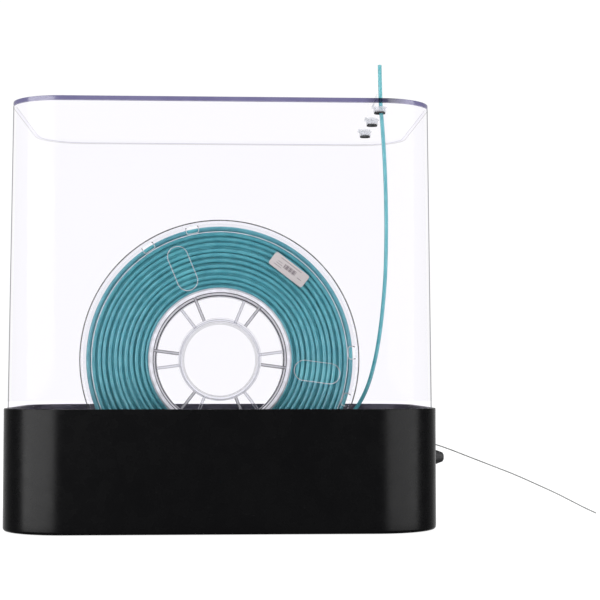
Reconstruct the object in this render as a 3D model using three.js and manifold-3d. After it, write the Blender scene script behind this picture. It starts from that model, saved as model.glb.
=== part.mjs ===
// A spool of thick filament in its dry box. A clear cover stands in the rim of a black tub, and the
// spool lies on eight grooved rollers, four for each of the two spool places.
// Units are millimetres, +Z is up and +X is right. The origin lies on the ground under the middle of
// the tub, and the tub's long front faces -Y.
import * as THREE from "three";
import { mergeVertices } from "three/addons/utils/BufferGeometryUtils.js";
import Module from "manifold-3d";

const wasm = await Module();
wasm.setup();

const CLEARANCE = 0.3;
const LARGE_ROUND_STEPS = 48;
const ROUND_STEPS = 16;
const SMALL_ROUND_STEPS = 12;
const PIN_ROUND_STEPS = 8;
const LEFT = -1;
const RIGHT = 1;
const SIDES = { left: LEFT, right: RIGHT };
const ENDS = { front: -1, rear: 1 };

// Tub
const TUB_HALF_WIDTH = 157.5;
const TUB_HALF_DEPTH = 112;
const TUB_CORNER = 47.5;
const TUB_BOTTOM = 0.6;
const TUB_RIM = 88.5;
const TUB_WALL = 3;
const TUB_FLOOR = 4.5;
const RIM_WALL = 2.2;
const LEDGE_TOP = 79;
const LEDGE_INSET = 7.4;
const LEDGE_THICKNESS = 2;
const LEDGE_GUSSET = 8;
const TUB_BOTTOM_ROUND = 2.4;
const TUB_INNER_ROUND = 2;
const EDGE_BREAK = 0.5;

// Cover
const COVER_INSET = 2.7;
const COVER_DRAFT = 2.8;
const COVER_WALL = 2.5;
const COVER_TOP = 310.7;
const COVER_TOP_CORNER = 38;
const PLATE_THICKNESS = 2.8;
const PLATE_UNDERSIDE = COVER_TOP - PLATE_THICKNESS;

// Gasket
const GASKET_OUTER_INSET = 3.1;
const GASKET_INNER_INSET = 6.6;
const GASKET_BOTTOM = LEDGE_TOP + CLEARANCE;
const GASKET_TOP = GASKET_BOTTOM + 2.1;

// Spool
const SPOOL_X = -1;
const SPOOL_Y = -62;
const SPOOL_Z = 123.8;
const SPOOL_RADIUS = 100;
const SPOOL_HALF_WIDTH = 33;
const RIM_DEPTH = 3.5;
const RIM_BAND = 2;
const FLANGE_OUTER_FACE = 32.4;
const FLANGE_INNER_FACE = 30.6;
const DRUM_OUTER = 50;
const DRUM_INNER = 47.3;
const HUB_BEAD = 50.6;
const BORE_RADIUS = 26.8;
const BORE_TUBE_OUTER = 29.7;
const WINDING_OUTER = 95.6;
const WINDOW_ANGLES = [112.5, -7.5, -127.5];
const SPOKE_COUNT = 6;

// Rollers
const ROLLER_GROOVE = 13;
const ROLLER_LIP = 16;
const ROLLER_HALF_WIDTH = 5;
const ROLLER_BORE = 11.3;
const BEARING_OUTER = 11;
const BEARING_BORE = 4.3;
const BEARING_HALF_WIDTH = 3.5;
const SPACER_OUTER = 6.2;
const AXLE_RADIUS = 4;
const AXLE_HALF_LENGTH = 106.5;
const AXLE_SPREAD = 65;
const AXLE_DROP = Math.sqrt((SPOOL_RADIUS + CLEARANCE + ROLLER_GROOVE) ** 2 - AXLE_SPREAD ** 2);
const AXLE_Z = SPOOL_Z - AXLE_DROP;
const FLANGE_RUN = SPOOL_HALF_WIDTH - RIM_DEPTH / 2;
const ROLLER_YS = [
  SPOOL_Y - FLANGE_RUN,
  SPOOL_Y + FLANGE_RUN,
  -SPOOL_Y - FLANGE_RUN,
  -SPOOL_Y + FLANGE_RUN,
];

// Filament outlets in the cover's top
const OUTLET_X = 117.3;
const OUTLET_YS = { front: SPOOL_Y, middle: -3.5, rear: 55 };
const OUTLET_HOLE = 5;
const COLLAR_FLANGE_RADIUS = 5.3;
const COLLAR_FLANGE_TOP = COVER_TOP + CLEARANCE + 0.6;
const HINGE_OFFSET = 5;
const HINGE_RADIUS = 0.7;
const HINGE_Z = COLLAR_FLANGE_TOP + CLEARANCE + HINGE_RADIUS;
const FRONT_CAP_OPEN_DEGREES = 72;

// Ports in the tub's right side
const STOPPER_Z = 49;
const STRAND_PORT_Y = 14;
const STRAND_PORT_Z = 59.4;

// Filament
const FILAMENT_RADIUS = 1.425;
const STRAND_STEPS = 38;
const SIDE_STRAND_RADIUS = 0.5;
const SIDE_STRAND_STEPS = 44;

// Colours
const BLACK_PLASTIC = { color: 0x141416, roughness: 0.45, metalness: 0 };
const BLACK_RUBBER = { color: 0x101011, roughness: 0.8, metalness: 0 };
const CLEAR_PLASTIC = { color: 0xf4f2fa, roughness: 0.05, metalness: 0, transparent: true, opacity: 0.2 };
const CLEAR_EDGE = { color: 0x9a92c0, roughness: 0.1, metalness: 0, transparent: true, opacity: 0.35 };
const CLOUDY_PLASTIC = { color: 0xe6e6e6, roughness: 0.3, metalness: 0, transparent: true, opacity: 0.6 };
const TEAL_FILAMENT = { color: 0x4fa3ad, roughness: 0.35, metalness: 0 };
const GREY_FILAMENT = { color: 0x8a8c8c, roughness: 0.4, metalness: 0 };
const STEEL = { color: 0xb9bcc0, roughness: 0.25, metalness: 1 };
const WHITE_PAPER = { color: 0xf5f5f2, roughness: 0.7, metalness: 0 };
const GREY_PLASTIC = { color: 0x4a4c50, roughness: 0.5, metalness: 0 };

// ---------------------------------------------------------------- solids

// The geometry as a manifold-3d solid with its faces pointing out.
function solid(geometry) {
  const bare = geometry.clone();
  bare.deleteAttribute("normal");
  bare.deleteAttribute("uv");
  const merged = mergeVertices(bare, 1e-4);
  const corners = [];
  for (let i = 0; i < merged.index.count; i += 3) {
    const [a, b, c] = [0, 1, 2].map((k) => merged.index.getX(i + k));
    if (a !== b && b !== c && c !== a) corners.push(a, b, c);
  }
  const vertProperties = new Float32Array(merged.attributes.position.array);
  const made = new wasm.Manifold(
    new wasm.Mesh({ numProp: 3, vertProperties, triVerts: new Uint32Array(corners) }),
  );
  if (made.volume() > 0) return made;
  return new wasm.Manifold(
    new wasm.Mesh({ numProp: 3, vertProperties, triVerts: new Uint32Array(corners).reverse() }),
  );
}

// A solid's surface as a geometry that a mesh can hold.
function surface(made) {
  const mesh = made.getMesh();
  const geometry = new THREE.BufferGeometry();
  geometry.setAttribute("position", new THREE.BufferAttribute(mesh.vertProperties, mesh.numProp));
  geometry.setIndex(new THREE.BufferAttribute(mesh.triVerts, 1));
  geometry.computeVertexNormals();
  return geometry;
}

function union(solids) {
  return solids.reduce((joined, next) => joined.add(next));
}

function cut(body, tools) {
  return tools.reduce((left, tool) => left.subtract(tool), body);
}

function piece(name, made, finish) {
  const mesh = new THREE.Mesh(surface(made), new THREE.MeshStandardMaterial(finish));
  mesh.name = name;
  return mesh;
}

function placed(object, x, y, z) {
  object.position.set(x, y, z);
  return object;
}

// A body of revolution about Y from a closed profile of [radius, y] points.
function turnedY(profile, segments) {
  const points = [...profile, profile[0]].map(([r, y]) => new THREE.Vector2(r, y));
  return new THREE.LatheGeometry(points, segments);
}

// The same about X, with the profile's second number along X, and about Z, with it along Z.
function turnedX(profile, segments) {
  return turnedY(profile, segments).rotateZ(-Math.PI / 2);
}

function turnedZ(profile, segments) {
  return turnedY(profile, segments).rotateX(Math.PI / 2);
}

// A plain ring or tube's profile between two radii and two ends.
function band(inner, outer, low, high) {
  return [
    [inner, low],
    [outer, low],
    [outer, high],
    [inner, high],
  ];
}

function block([x0, x1], [y0, y1], [z0, z1]) {
  const box = new THREE.BoxGeometry(x1 - x0, y1 - y0, z1 - z0);
  return box.translate((x0 + x1) / 2, (y0 + y1) / 2, (z0 + z1) / 2);
}

// A slot with round ends, lying along X and cut through between two Y planes.
function slotAlongX(length, width, [y0, y1], arcSteps) {
  const shape = new THREE.Shape();
  const reach = (length - width) / 2;
  shape.absarc(reach, 0, width / 2, -Math.PI / 2, Math.PI / 2, false);
  shape.absarc(-reach, 0, width / 2, Math.PI / 2, (3 * Math.PI) / 2, false);
  const prism = new THREE.ExtrudeGeometry(shape, {
    depth: y1 - y0,
    bevelEnabled: false,
    curveSegments: arcSteps,
  });
  return prism.rotateX(Math.PI / 2).translate(0, y1, 0);
}

// One level of a rounded rectangle's outline.
function outline(halfWidth, halfDepth, radius, z) {
  const CORNER_STEPS = 8;
  const points = [];
  for (let corner = 0; corner < 4; corner += 1) {
    const signX = corner === 0 || corner === 3 ? 1 : -1;
    const signY = corner < 2 ? 1 : -1;
    for (let step = 0; step <= CORNER_STEPS; step += 1) {
      const angle = ((corner + step / CORNER_STEPS) * Math.PI) / 2;
      const x = signX * (halfWidth - radius) + radius * Math.cos(angle);
      const y = signY * (halfDepth - radius) + radius * Math.sin(angle);
      points.push([x, y, z]);
    }
  }
  return points;
}

// A body through stacked outlines. An open stack is closed with a flat lid at each end, and a looped
// one runs back into its first outline, which makes a hollow frame.
function loft(levels, looped) {
  const count = levels[0].length;
  const positions = levels.flat(2);
  const faces = [];
  const bands = looped ? levels.length : levels.length - 1;
  for (let level = 0; level < bands; level += 1) {
    const here = level * count;
    const next = ((level + 1) % levels.length) * count;
    for (let i = 0; i < count; i += 1) {
      const j = (i + 1) % count;
      faces.push(here + i, here + j, next + j, here + i, next + j, next + i);
    }
  }
  if (!looped) {
    const last = (levels.length - 1) * count;
    for (let i = 1; i < count - 1; i += 1) {
      faces.push(0, i + 1, i, last, last + i, last + i + 1);
    }
  }
  const geometry = new THREE.BufferGeometry();
  geometry.setAttribute("position", new THREE.Float32BufferAttribute(positions, 3));
  geometry.setIndex(faces);
  return geometry;
}

// The tub's outline moved inwards, at a height.
function tubOutline(inset, z) {
  return outline(TUB_HALF_WIDTH - inset, TUB_HALF_DEPTH - inset, TUB_CORNER - inset, z);
}

// The cover's outline, which draws in towards the top, moved inwards by a wall's thickness.
function coverOutline(inset, z) {
  const rise = (z - LEDGE_TOP) / (COVER_TOP - LEDGE_TOP);
  const back = COVER_INSET + COVER_DRAFT * rise + inset;
  const radius = THREE.MathUtils.lerp(TUB_CORNER - COVER_INSET, COVER_TOP_CORNER, rise) - inset;
  return outline(TUB_HALF_WIDTH - back, TUB_HALF_DEPTH - back, radius, z);
}

// A cord of eight sides through a list of points.
function cord(points, radius, steps) {
  const SIDES_OF_CORD = 8;
  const section = new THREE.Shape();
  section.absarc(0, 0, radius, 0, 2 * Math.PI, false);
  const path = new THREE.CatmullRomCurve3(points.map((point) => new THREE.Vector3(...point)));
  return new THREE.ExtrudeGeometry(section, {
    steps,
    curveSegments: SIDES_OF_CORD / 2,
    extrudePath: path,
  });
}

// ---------------------------------------------------------------- tub

const FOOT_RADIUS = 9;
const FOOT_X = 112;
const FOOT_Y = 72;
const FOOT_RECESS_TOP = 2.7;
const STOPPER_HOLE = 6.4;
const STRAND_HOLE = 2.9;

function tubShell() {
  const roundMiddle = TUB_BOTTOM_ROUND * (1 - Math.SQRT1_2);
  const profile = [
    [TUB_BOTTOM_ROUND, TUB_BOTTOM],
    [roundMiddle, TUB_BOTTOM + roundMiddle],
    [0, TUB_BOTTOM + TUB_BOTTOM_ROUND],
    [0, TUB_RIM - EDGE_BREAK],
    [EDGE_BREAK, TUB_RIM],
    [RIM_WALL, TUB_RIM],
    [RIM_WALL, LEDGE_TOP],
    [LEDGE_INSET, LEDGE_TOP],
    [LEDGE_INSET, LEDGE_TOP - LEDGE_THICKNESS],
    [TUB_WALL, LEDGE_TOP - LEDGE_GUSSET],
    [TUB_WALL, TUB_FLOOR + TUB_INNER_ROUND],
    [TUB_WALL + TUB_INNER_ROUND, TUB_FLOOR],
  ];
  const levels = profile.map(([inset, z]) => tubOutline(inset, z));
  const recess = band(0, FOOT_RADIUS + CLEARANCE, 0, FOOT_RECESS_TOP);
  const recesses = footPlaces().map(([, x, y]) => solid(turnedZ(recess, ROUND_STEPS).translate(x, y, 0)));
  const through = [TUB_HALF_WIDTH - 2 * TUB_WALL, TUB_HALF_WIDTH + TUB_WALL];
  const stopperHole = turnedX(band(0, STOPPER_HOLE, ...through), ROUND_STEPS);
  stopperHole.translate(0, 0, STOPPER_Z);
  const strandHole = turnedX(band(0, STRAND_HOLE, ...through), SMALL_ROUND_STEPS);
  strandHole.translate(0, STRAND_PORT_Y, STRAND_PORT_Z);
  return cut(solid(loft(levels, false)), [...recesses, solid(stopperHole), solid(strandHole)]);
}

function footPlaces() {
  const places = [];
  for (const [end, signY] of Object.entries(ENDS)) {
    for (const [side, signX] of Object.entries(SIDES)) {
      places.push([`foot_${end}_${side}`, signX * FOOT_X, signY * FOOT_Y]);
    }
  }
  return places;
}

function feet() {
  const profile = [
    [0, 0],
    [FOOT_RADIUS - EDGE_BREAK, 0],
    [FOOT_RADIUS, EDGE_BREAK],
    [FOOT_RADIUS, FOOT_RECESS_TOP - CLEARANCE],
    [0, FOOT_RECESS_TOP - CLEARANCE],
  ];
  return footPlaces().map(([name, x, y]) =>
    placed(piece(name, solid(turnedZ(profile, ROUND_STEPS)), BLACK_RUBBER), x, y, 0),
  );
}

function coverGasket() {
  const levels = [
    tubOutline(GASKET_OUTER_INSET, GASKET_BOTTOM),
    tubOutline(GASKET_OUTER_INSET, GASKET_TOP),
    tubOutline(GASKET_INNER_INSET, GASKET_TOP),
    tubOutline(GASKET_INNER_INSET, GASKET_BOTTOM),
  ];
  return piece("cover_gasket", solid(loft(levels, true)), BLACK_RUBBER);
}

// ---------------------------------------------------------------- rollers

const BLOCK_HALF_WIDTH = 10;
const BLOCK_FLARE = 3;
const BLOCK_FOOT_HEIGHT = 5;
const BLOCK_TOP = AXLE_Z + 7;
const BLOCK_Y = [99, 106];
const NOTCH_RADIUS = AXLE_RADIUS + 0.4;

function axleBlock() {
  const shape = new THREE.Shape();
  shape.moveTo(-BLOCK_HALF_WIDTH - BLOCK_FLARE, TUB_FLOOR + CLEARANCE);
  shape.lineTo(BLOCK_HALF_WIDTH + BLOCK_FLARE, TUB_FLOOR + CLEARANCE);
  shape.lineTo(BLOCK_HALF_WIDTH, TUB_FLOOR + BLOCK_FOOT_HEIGHT);
  shape.lineTo(BLOCK_HALF_WIDTH, BLOCK_TOP - BLOCK_FLARE);
  shape.lineTo(BLOCK_HALF_WIDTH - BLOCK_FLARE, BLOCK_TOP);
  shape.lineTo(NOTCH_RADIUS, BLOCK_TOP);
  shape.lineTo(NOTCH_RADIUS, AXLE_Z);
  shape.absarc(0, AXLE_Z, NOTCH_RADIUS, 0, -Math.PI, true);
  shape.lineTo(-NOTCH_RADIUS, BLOCK_TOP);
  shape.lineTo(BLOCK_FLARE - BLOCK_HALF_WIDTH, BLOCK_TOP);
  shape.lineTo(-BLOCK_HALF_WIDTH, BLOCK_TOP - BLOCK_FLARE);
  shape.lineTo(-BLOCK_HALF_WIDTH, TUB_FLOOR + BLOCK_FOOT_HEIGHT);
  const depth = BLOCK_Y[1] - BLOCK_Y[0];
  const prism = new THREE.ExtrudeGeometry(shape, {
    depth,
    bevelEnabled: false,
    curveSegments: PIN_ROUND_STEPS,
  });
  return prism.rotateX(Math.PI / 2).translate(0, depth / 2, 0);
}

function axleBlocks() {
  const middle = (BLOCK_Y[0] + BLOCK_Y[1]) / 2;
  const blocks = [];
  for (const [end, signY] of Object.entries(ENDS)) {
    for (const [side, signX] of Object.entries(SIDES)) {
      const made = piece(`axle_block_${end}_${side}`, solid(axleBlock()), BLACK_PLASTIC);
      blocks.push(placed(made, SPOOL_X + signX * AXLE_SPREAD, signY * middle, 0));
    }
  }
  return blocks;
}

function rollerWheel() {
  const GROOVE_HALF = 2.2;
  const LIP_SHOULDER = 3.8;
  const profile = [
    [ROLLER_BORE, -ROLLER_HALF_WIDTH],
    [ROLLER_LIP, -ROLLER_HALF_WIDTH],
    [ROLLER_LIP, -LIP_SHOULDER],
    [ROLLER_GROOVE, -GROOVE_HALF],
    [ROLLER_GROOVE, GROOVE_HALF],
    [ROLLER_LIP, LIP_SHOULDER],
    [ROLLER_LIP, ROLLER_HALF_WIDTH],
    [ROLLER_BORE, ROLLER_HALF_WIDTH],
  ];
  return solid(turnedY(profile, ROUND_STEPS));
}

function bearing() {
  const ring = band(BEARING_BORE, BEARING_OUTER, -BEARING_HALF_WIDTH, BEARING_HALF_WIDTH);
  return solid(turnedY(ring, ROUND_STEPS));
}

function axleSpacer(fromY, toY) {
  const reach = (toY - fromY) / 2 - BEARING_HALF_WIDTH - CLEARANCE;
  return solid(turnedY(band(BEARING_BORE, SPACER_OUTER, -reach, reach), SMALL_ROUND_STEPS));
}

// One steel axle with its four rollers, their bearings and the three spacers between them.
function axleSet(side) {
  const set = new THREE.Group();
  const axle = turnedY(band(0, AXLE_RADIUS, -AXLE_HALF_LENGTH, AXLE_HALF_LENGTH), ROUND_STEPS);
  set.add(piece(`axle_${side}`, solid(axle), STEEL));
  ROLLER_YS.forEach((y, index) => {
    set.add(placed(piece(`roller_${side}_${index + 1}`, rollerWheel(), GREY_PLASTIC), 0, y, 0));
    set.add(placed(piece(`bearing_${side}_${index + 1}`, bearing(), STEEL), 0, y, 0));
  });
  for (let gap = 0; gap < ROLLER_YS.length - 1; gap += 1) {
    const [here, next] = [ROLLER_YS[gap], ROLLER_YS[gap + 1]];
    const spacer = piece(`axle_spacer_${side}_${gap + 1}`, axleSpacer(here, next), BLACK_PLASTIC);
    set.add(placed(spacer, 0, (here + next) / 2, 0));
  }
  return placed(set, SPOOL_X + SIDES[side] * AXLE_SPREAD, 0, AXLE_Z);
}

// ---------------------------------------------------------------- desiccant

const TRAY_X = [100, 146];
const TRAY_HALF_DEPTH = 80;
const TRAY_Z = [TUB_FLOOR + CLEARANCE, 38.8];
const TRAY_WALL = 1.8;
const SACHET_MARGIN = TRAY_WALL + 0.6;
const LID_THICKNESS = 2;
const LID_SLOTS = 6;
const LID_SLOT_WIDTH = 4;
const LID_SLOT_MARGIN = 8;

function desiccantTray() {
  const inside = [TRAY_X[0] + TRAY_WALL, TRAY_X[1] - TRAY_WALL];
  const reach = TRAY_HALF_DEPTH - TRAY_WALL;
  const hollow = block(inside, [-reach, reach], [TRAY_Z[0] + TRAY_WALL, TRAY_Z[1] + TRAY_WALL]);
  return cut(solid(block(TRAY_X, [-TRAY_HALF_DEPTH, TRAY_HALF_DEPTH], TRAY_Z)), [solid(hollow)]);
}

function desiccantSachet() {
  const inside = [TRAY_X[0] + SACHET_MARGIN, TRAY_X[1] - SACHET_MARGIN];
  const reach = TRAY_HALF_DEPTH - SACHET_MARGIN;
  const height = [TRAY_Z[0] + SACHET_MARGIN, TRAY_Z[1] - SACHET_MARGIN];
  return solid(block(inside, [-reach, reach], height));
}

function desiccantLid() {
  const low = TRAY_Z[1] + CLEARANCE;
  const plate = block(TRAY_X, [-TRAY_HALF_DEPTH, TRAY_HALF_DEPTH], [low, low + LID_THICKNESS]);
  const pitch = (2 * TRAY_HALF_DEPTH) / (LID_SLOTS + 1);
  const across = [TRAY_X[0] + LID_SLOT_MARGIN, TRAY_X[1] - LID_SLOT_MARGIN];
  const slots = [];
  for (let index = 1; index <= LID_SLOTS; index += 1) {
    const y = index * pitch - TRAY_HALF_DEPTH;
    const along = [y - LID_SLOT_WIDTH / 2, y + LID_SLOT_WIDTH / 2];
    slots.push(solid(block(across, along, [low - 1, low + 2 * LID_THICKNESS])));
  }
  return cut(solid(plate), slots);
}

// Each set is the right-hand one, turned half round for the left.
function desiccantSet(side) {
  const set = new THREE.Group();
  set.add(piece(`desiccant_tray_${side}`, desiccantTray(), BLACK_PLASTIC));
  set.add(piece(`desiccant_sachet_${side}`, desiccantSachet(), WHITE_PAPER));
  set.add(piece(`desiccant_lid_${side}`, desiccantLid(), GREY_PLASTIC));
  if (SIDES[side] === LEFT) set.rotation.z = Math.PI;
  return set;
}

// ---------------------------------------------------------------- side ports

const BUSH_OUTSIDE = TUB_HALF_WIDTH + CLEARANCE;
const BUSH_INSIDE = TUB_HALF_WIDTH - TUB_WALL - 1.5;
const BUSH_FACE = BUSH_OUTSIDE + 1.5;
const STOPPER_BORE = 4;
const STOPPER_BUSH_FLANGE = 8;
const STRAND_BUSH_FLANGE = 3.8;

// The profile of a bush that lines a round hole in the tub's wall, with a flange outside it.
function portBush(hole, flange, bore) {
  return [
    [bore, BUSH_INSIDE],
    [hole - CLEARANCE, BUSH_INSIDE],
    [hole - CLEARANCE, BUSH_OUTSIDE],
    [flange, BUSH_OUTSIDE],
    [flange, BUSH_FACE],
    [bore, BUSH_FACE],
  ];
}

function stopperBush() {
  const profile = portBush(STOPPER_HOLE, STOPPER_BUSH_FLANGE, STOPPER_BORE);
  const made = solid(turnedX(profile, ROUND_STEPS));
  return placed(piece("stopper_bush", made, BLACK_RUBBER), 0, 0, STOPPER_Z);
}

function strandBush() {
  const profile = portBush(STRAND_HOLE, STRAND_BUSH_FLANGE, 2 * SIDE_STRAND_RADIUS);
  const made = solid(turnedX(profile, SMALL_ROUND_STEPS));
  return placed(piece("strand_bush", made, BLACK_RUBBER), 0, STRAND_PORT_Y, STRAND_PORT_Z);
}

function sideStopper() {
  const HEAD_RADIUS = 6.4;
  const CONE_START = 166.6;
  const TIP = 172.8;
  const TIP_RADIUS = 3;
  const INNER_END = BUSH_INSIDE - 3;
  const INNER_END_RADIUS = 3.4;
  const profile = [
    [0, INNER_END],
    [INNER_END_RADIUS, INNER_END],
    [STOPPER_BORE - CLEARANCE, BUSH_INSIDE],
    [STOPPER_BORE - CLEARANCE, BUSH_FACE + CLEARANCE],
    [HEAD_RADIUS, BUSH_FACE + CLEARANCE],
    [HEAD_RADIUS, CONE_START],
    [TIP_RADIUS, TIP],
    [0, TIP],
  ];
  const made = solid(turnedX(profile, ROUND_STEPS));
  return placed(piece("side_stopper", made, BLACK_RUBBER), 0, 0, STOPPER_Z);
}

// A thin strand leaves the tub's side, bows down and rests its bare end on the ground.
function sideStrand() {
  const route = [
    [150, 14, 59.4],
    [154, 14, 59.4],
    [158.5, 14.1, 59.4],
    [163.6, 15.2, 59],
    [169.6, 16.9, 57.7],
    [180, 19.4, 54.2],
    [194.1, 22.8, 48.8],
    [209.4, 26.4, 42.9],
    [220.6, 29.1, 38.6],
    [232.5, 31.9, 34],
    [242.4, 34.3, 29.8],
    [251.9, 36.6, 25.6],
    [261.8, 38.9, 21.2],
    [271.5, 41.2, 16.7],
    [281.4, 43.6, 11.8],
    [291.1, 45.9, 6.9],
    [298.6, 47.7, 3.3],
    [304, 49, 0.9],
  ];
  return piece("side_strand", solid(cord(route, SIDE_STRAND_RADIUS, SIDE_STRAND_STEPS)), GREY_FILAMENT);
}

// ---------------------------------------------------------------- cover

function coverWall() {
  const bottom = GASKET_TOP + CLEARANCE;
  const top = PLATE_UNDERSIDE - CLEARANCE;
  const levels = [
    coverOutline(0, bottom),
    coverOutline(0, top),
    coverOutline(COVER_WALL, top),
    coverOutline(COVER_WALL, bottom),
  ];
  return piece("cover_wall", solid(loft(levels, true)), CLEAR_PLASTIC);
}

function coverTop() {
  const levels = [
    coverOutline(0, PLATE_UNDERSIDE),
    coverOutline(0, COVER_TOP - EDGE_BREAK),
    coverOutline(EDGE_BREAK, COVER_TOP),
  ];
  const hole = band(0, OUTLET_HOLE, PLATE_UNDERSIDE - 1, COVER_TOP + 1);
  const holes = Object.values(OUTLET_YS).map((y) =>
    solid(turnedZ(hole, ROUND_STEPS).translate(OUTLET_X, y, 0)),
  );
  return piece("cover_top", cut(solid(loft(levels, false)), holes), CLEAR_EDGE);
}

const HINGE_KNUCKLE = [1.8, 3.2];
const COLLAR_BORE = 3.7;
const COLLAR_SHANK = 4.6;
const CAP_RADIUS = 4.3;
const CAP_BOTTOM = COLLAR_FLANGE_TOP + CLEARANCE;
const CAP_TOP = CAP_BOTTOM + 1.1;
const CAP_PLUG_DEPTH = 0.9;
const CAP_PLUG_RADII = [1.9, 2.3];
const CAP_ARM_STEP = 0.2;

// The clear collar set in the top plate, with two knuckles on its left for the cap's hinge.
function outletCollar() {
  const ring = [
    [COLLAR_BORE, PLATE_UNDERSIDE],
    [COLLAR_SHANK, PLATE_UNDERSIDE],
    [COLLAR_SHANK, COVER_TOP + CLEARANCE],
    [COLLAR_FLANGE_RADIUS, COVER_TOP + CLEARANCE],
    [COLLAR_FLANGE_RADIUS, COLLAR_FLANGE_TOP],
    [COLLAR_BORE, COLLAR_FLANGE_TOP],
  ];
  const across = [-HINGE_OFFSET - HINGE_RADIUS, -HINGE_OFFSET + HINGE_RADIUS];
  const height = [COVER_TOP + CLEARANCE, HINGE_Z];
  const parts = [solid(turnedZ(ring, ROUND_STEPS))];
  for (const sign of Object.values(ENDS)) {
    const span = HINGE_KNUCKLE.map((y) => sign * y).sort((a, b) => a - b);
    const knuckle = turnedY(band(0, HINGE_RADIUS, ...span), PIN_ROUND_STEPS);
    parts.push(solid(knuckle.translate(-HINGE_OFFSET, 0, HINGE_Z)));
    parts.push(solid(block(across, span, height)));
  }
  return union(parts);
}

// The black rubber grommet that grips the filament, seated in the collar from below.
function outletGrommet() {
  const HOLE = 3.1;
  const FLANGE = 4.2;
  const FLANGE_BOTTOM = PLATE_UNDERSIDE - 1.3;
  const TOP = PLATE_UNDERSIDE + 1;
  const profile = [
    [HOLE, FLANGE_BOTTOM],
    [FLANGE, FLANGE_BOTTOM],
    [FLANGE, PLATE_UNDERSIDE - CLEARANCE],
    [COLLAR_BORE - CLEARANCE, PLATE_UNDERSIDE - CLEARANCE],
    [COLLAR_BORE - CLEARANCE, TOP],
    [HOLE, TOP],
  ];
  return solid(turnedZ(profile, ROUND_STEPS));
}

// A flip cap, drawn closed with its hinge line on the origin.
function flipCap() {
  const [low, high] = [CAP_BOTTOM - HINGE_Z, CAP_TOP - HINGE_Z];
  const disc = turnedZ(band(0, CAP_RADIUS, low, high), ROUND_STEPS);
  const plugProfile = [
    [0, low - CAP_PLUG_DEPTH],
    [CAP_PLUG_RADII[0], low - CAP_PLUG_DEPTH],
    [CAP_PLUG_RADII[1], low + CAP_ARM_STEP],
    [0, low + CAP_ARM_STEP],
  ];
  const plug = turnedZ(plugProfile, SMALL_ROUND_STEPS);
  const half = HINGE_KNUCKLE[0] - CLEARANCE;
  const barrel = turnedY(band(0, HINGE_RADIUS, -half, half), PIN_ROUND_STEPS);
  const arm = block([0, HINGE_OFFSET / 2], [-half, half], [low, high - CAP_ARM_STEP]);
  const lid = [disc, plug].map((shape) => solid(shape.translate(HINGE_OFFSET, 0, 0)));
  return union([...lid, solid(barrel), solid(arm)]);
}

function outlet(name, y) {
  const set = new THREE.Group();
  set.add(piece(`outlet_collar_${name}`, outletCollar(), CLOUDY_PLASTIC));
  set.add(piece(`outlet_grommet_${name}`, outletGrommet(), BLACK_RUBBER));
  const cap = placed(piece(`outlet_cap_${name}`, flipCap(), CLOUDY_PLASTIC), -HINGE_OFFSET, 0, HINGE_Z);
  if (name === "front") cap.rotation.y = -THREE.MathUtils.degToRad(FRONT_CAP_OPEN_DEGREES);
  set.add(cap);
  return placed(set, OUTLET_X, y, 0);
}

// ---------------------------------------------------------------- spool

// One moulded half of the spool, its outer face towards -Y and its split face at the spool's middle.
function spoolHalf() {
  const split = -CLEARANCE / 2;
  const shell = [
    [DRUM_INNER, -SPOOL_HALF_WIDTH],
    [HUB_BEAD, -SPOOL_HALF_WIDTH],
    [HUB_BEAD, -FLANGE_OUTER_FACE],
    [SPOOL_RADIUS - RIM_BAND, -FLANGE_OUTER_FACE],
    [SPOOL_RADIUS - RIM_BAND, -SPOOL_HALF_WIDTH],
    [SPOOL_RADIUS, -SPOOL_HALF_WIDTH],
    [SPOOL_RADIUS, RIM_DEPTH - SPOOL_HALF_WIDTH],
    [SPOOL_RADIUS - RIM_BAND, RIM_DEPTH - SPOOL_HALF_WIDTH],
    [SPOOL_RADIUS - RIM_BAND, -FLANGE_INNER_FACE],
    [DRUM_OUTER, -FLANGE_INNER_FACE],
    [DRUM_OUTER, split],
    [DRUM_INNER, split],
  ];
  const tube = turnedY(band(BORE_RADIUS, BORE_TUBE_OUTER, -SPOOL_HALF_WIDTH, split), LARGE_ROUND_STEPS);
  const body = union([solid(turnedY(shell, LARGE_ROUND_STEPS)), solid(tube), ...spokes()]);
  return cut(body, [...windows(), ...rimHoles()]);
}

function spokes() {
  const SPOKE_HALF_WIDTH = 1.1;
  const SPOKE_DEPTH = 12;
  const SPOKE_ROOT = 0.5;
  const reach = [BORE_TUBE_OUTER - SPOKE_ROOT, DRUM_INNER + SPOKE_ROOT];
  const depth = [-SPOOL_HALF_WIDTH, SPOKE_DEPTH - SPOOL_HALF_WIDTH];
  const made = [];
  for (let index = 0; index < SPOKE_COUNT; index += 1) {
    const rib = block(reach, depth, [-SPOKE_HALF_WIDTH, SPOKE_HALF_WIDTH]);
    const angle = WINDOW_ANGLES[0] + (index * 360) / SPOKE_COUNT;
    made.push(solid(rib.rotateY(-THREE.MathUtils.degToRad(angle))));
  }
  return made;
}

// Tools that cut right through the flange, from in front of it to behind it.
const THROUGH_FLANGE = [-SPOOL_HALF_WIDTH - 1, 1 - FLANGE_INNER_FACE];

function windows() {
  const WINDOW_WIDTH = 14;
  const WINDOW_LENGTH = 32.5;
  const WINDOW_RADIUS = 70.2;
  return WINDOW_ANGLES.map((angle) => {
    const slot = slotAlongX(WINDOW_LENGTH, WINDOW_WIDTH, THROUGH_FLANGE, 6);
    return solid(slot.translate(WINDOW_RADIUS, 0, 0).rotateY(-THREE.MathUtils.degToRad(angle)));
  });
}

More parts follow.
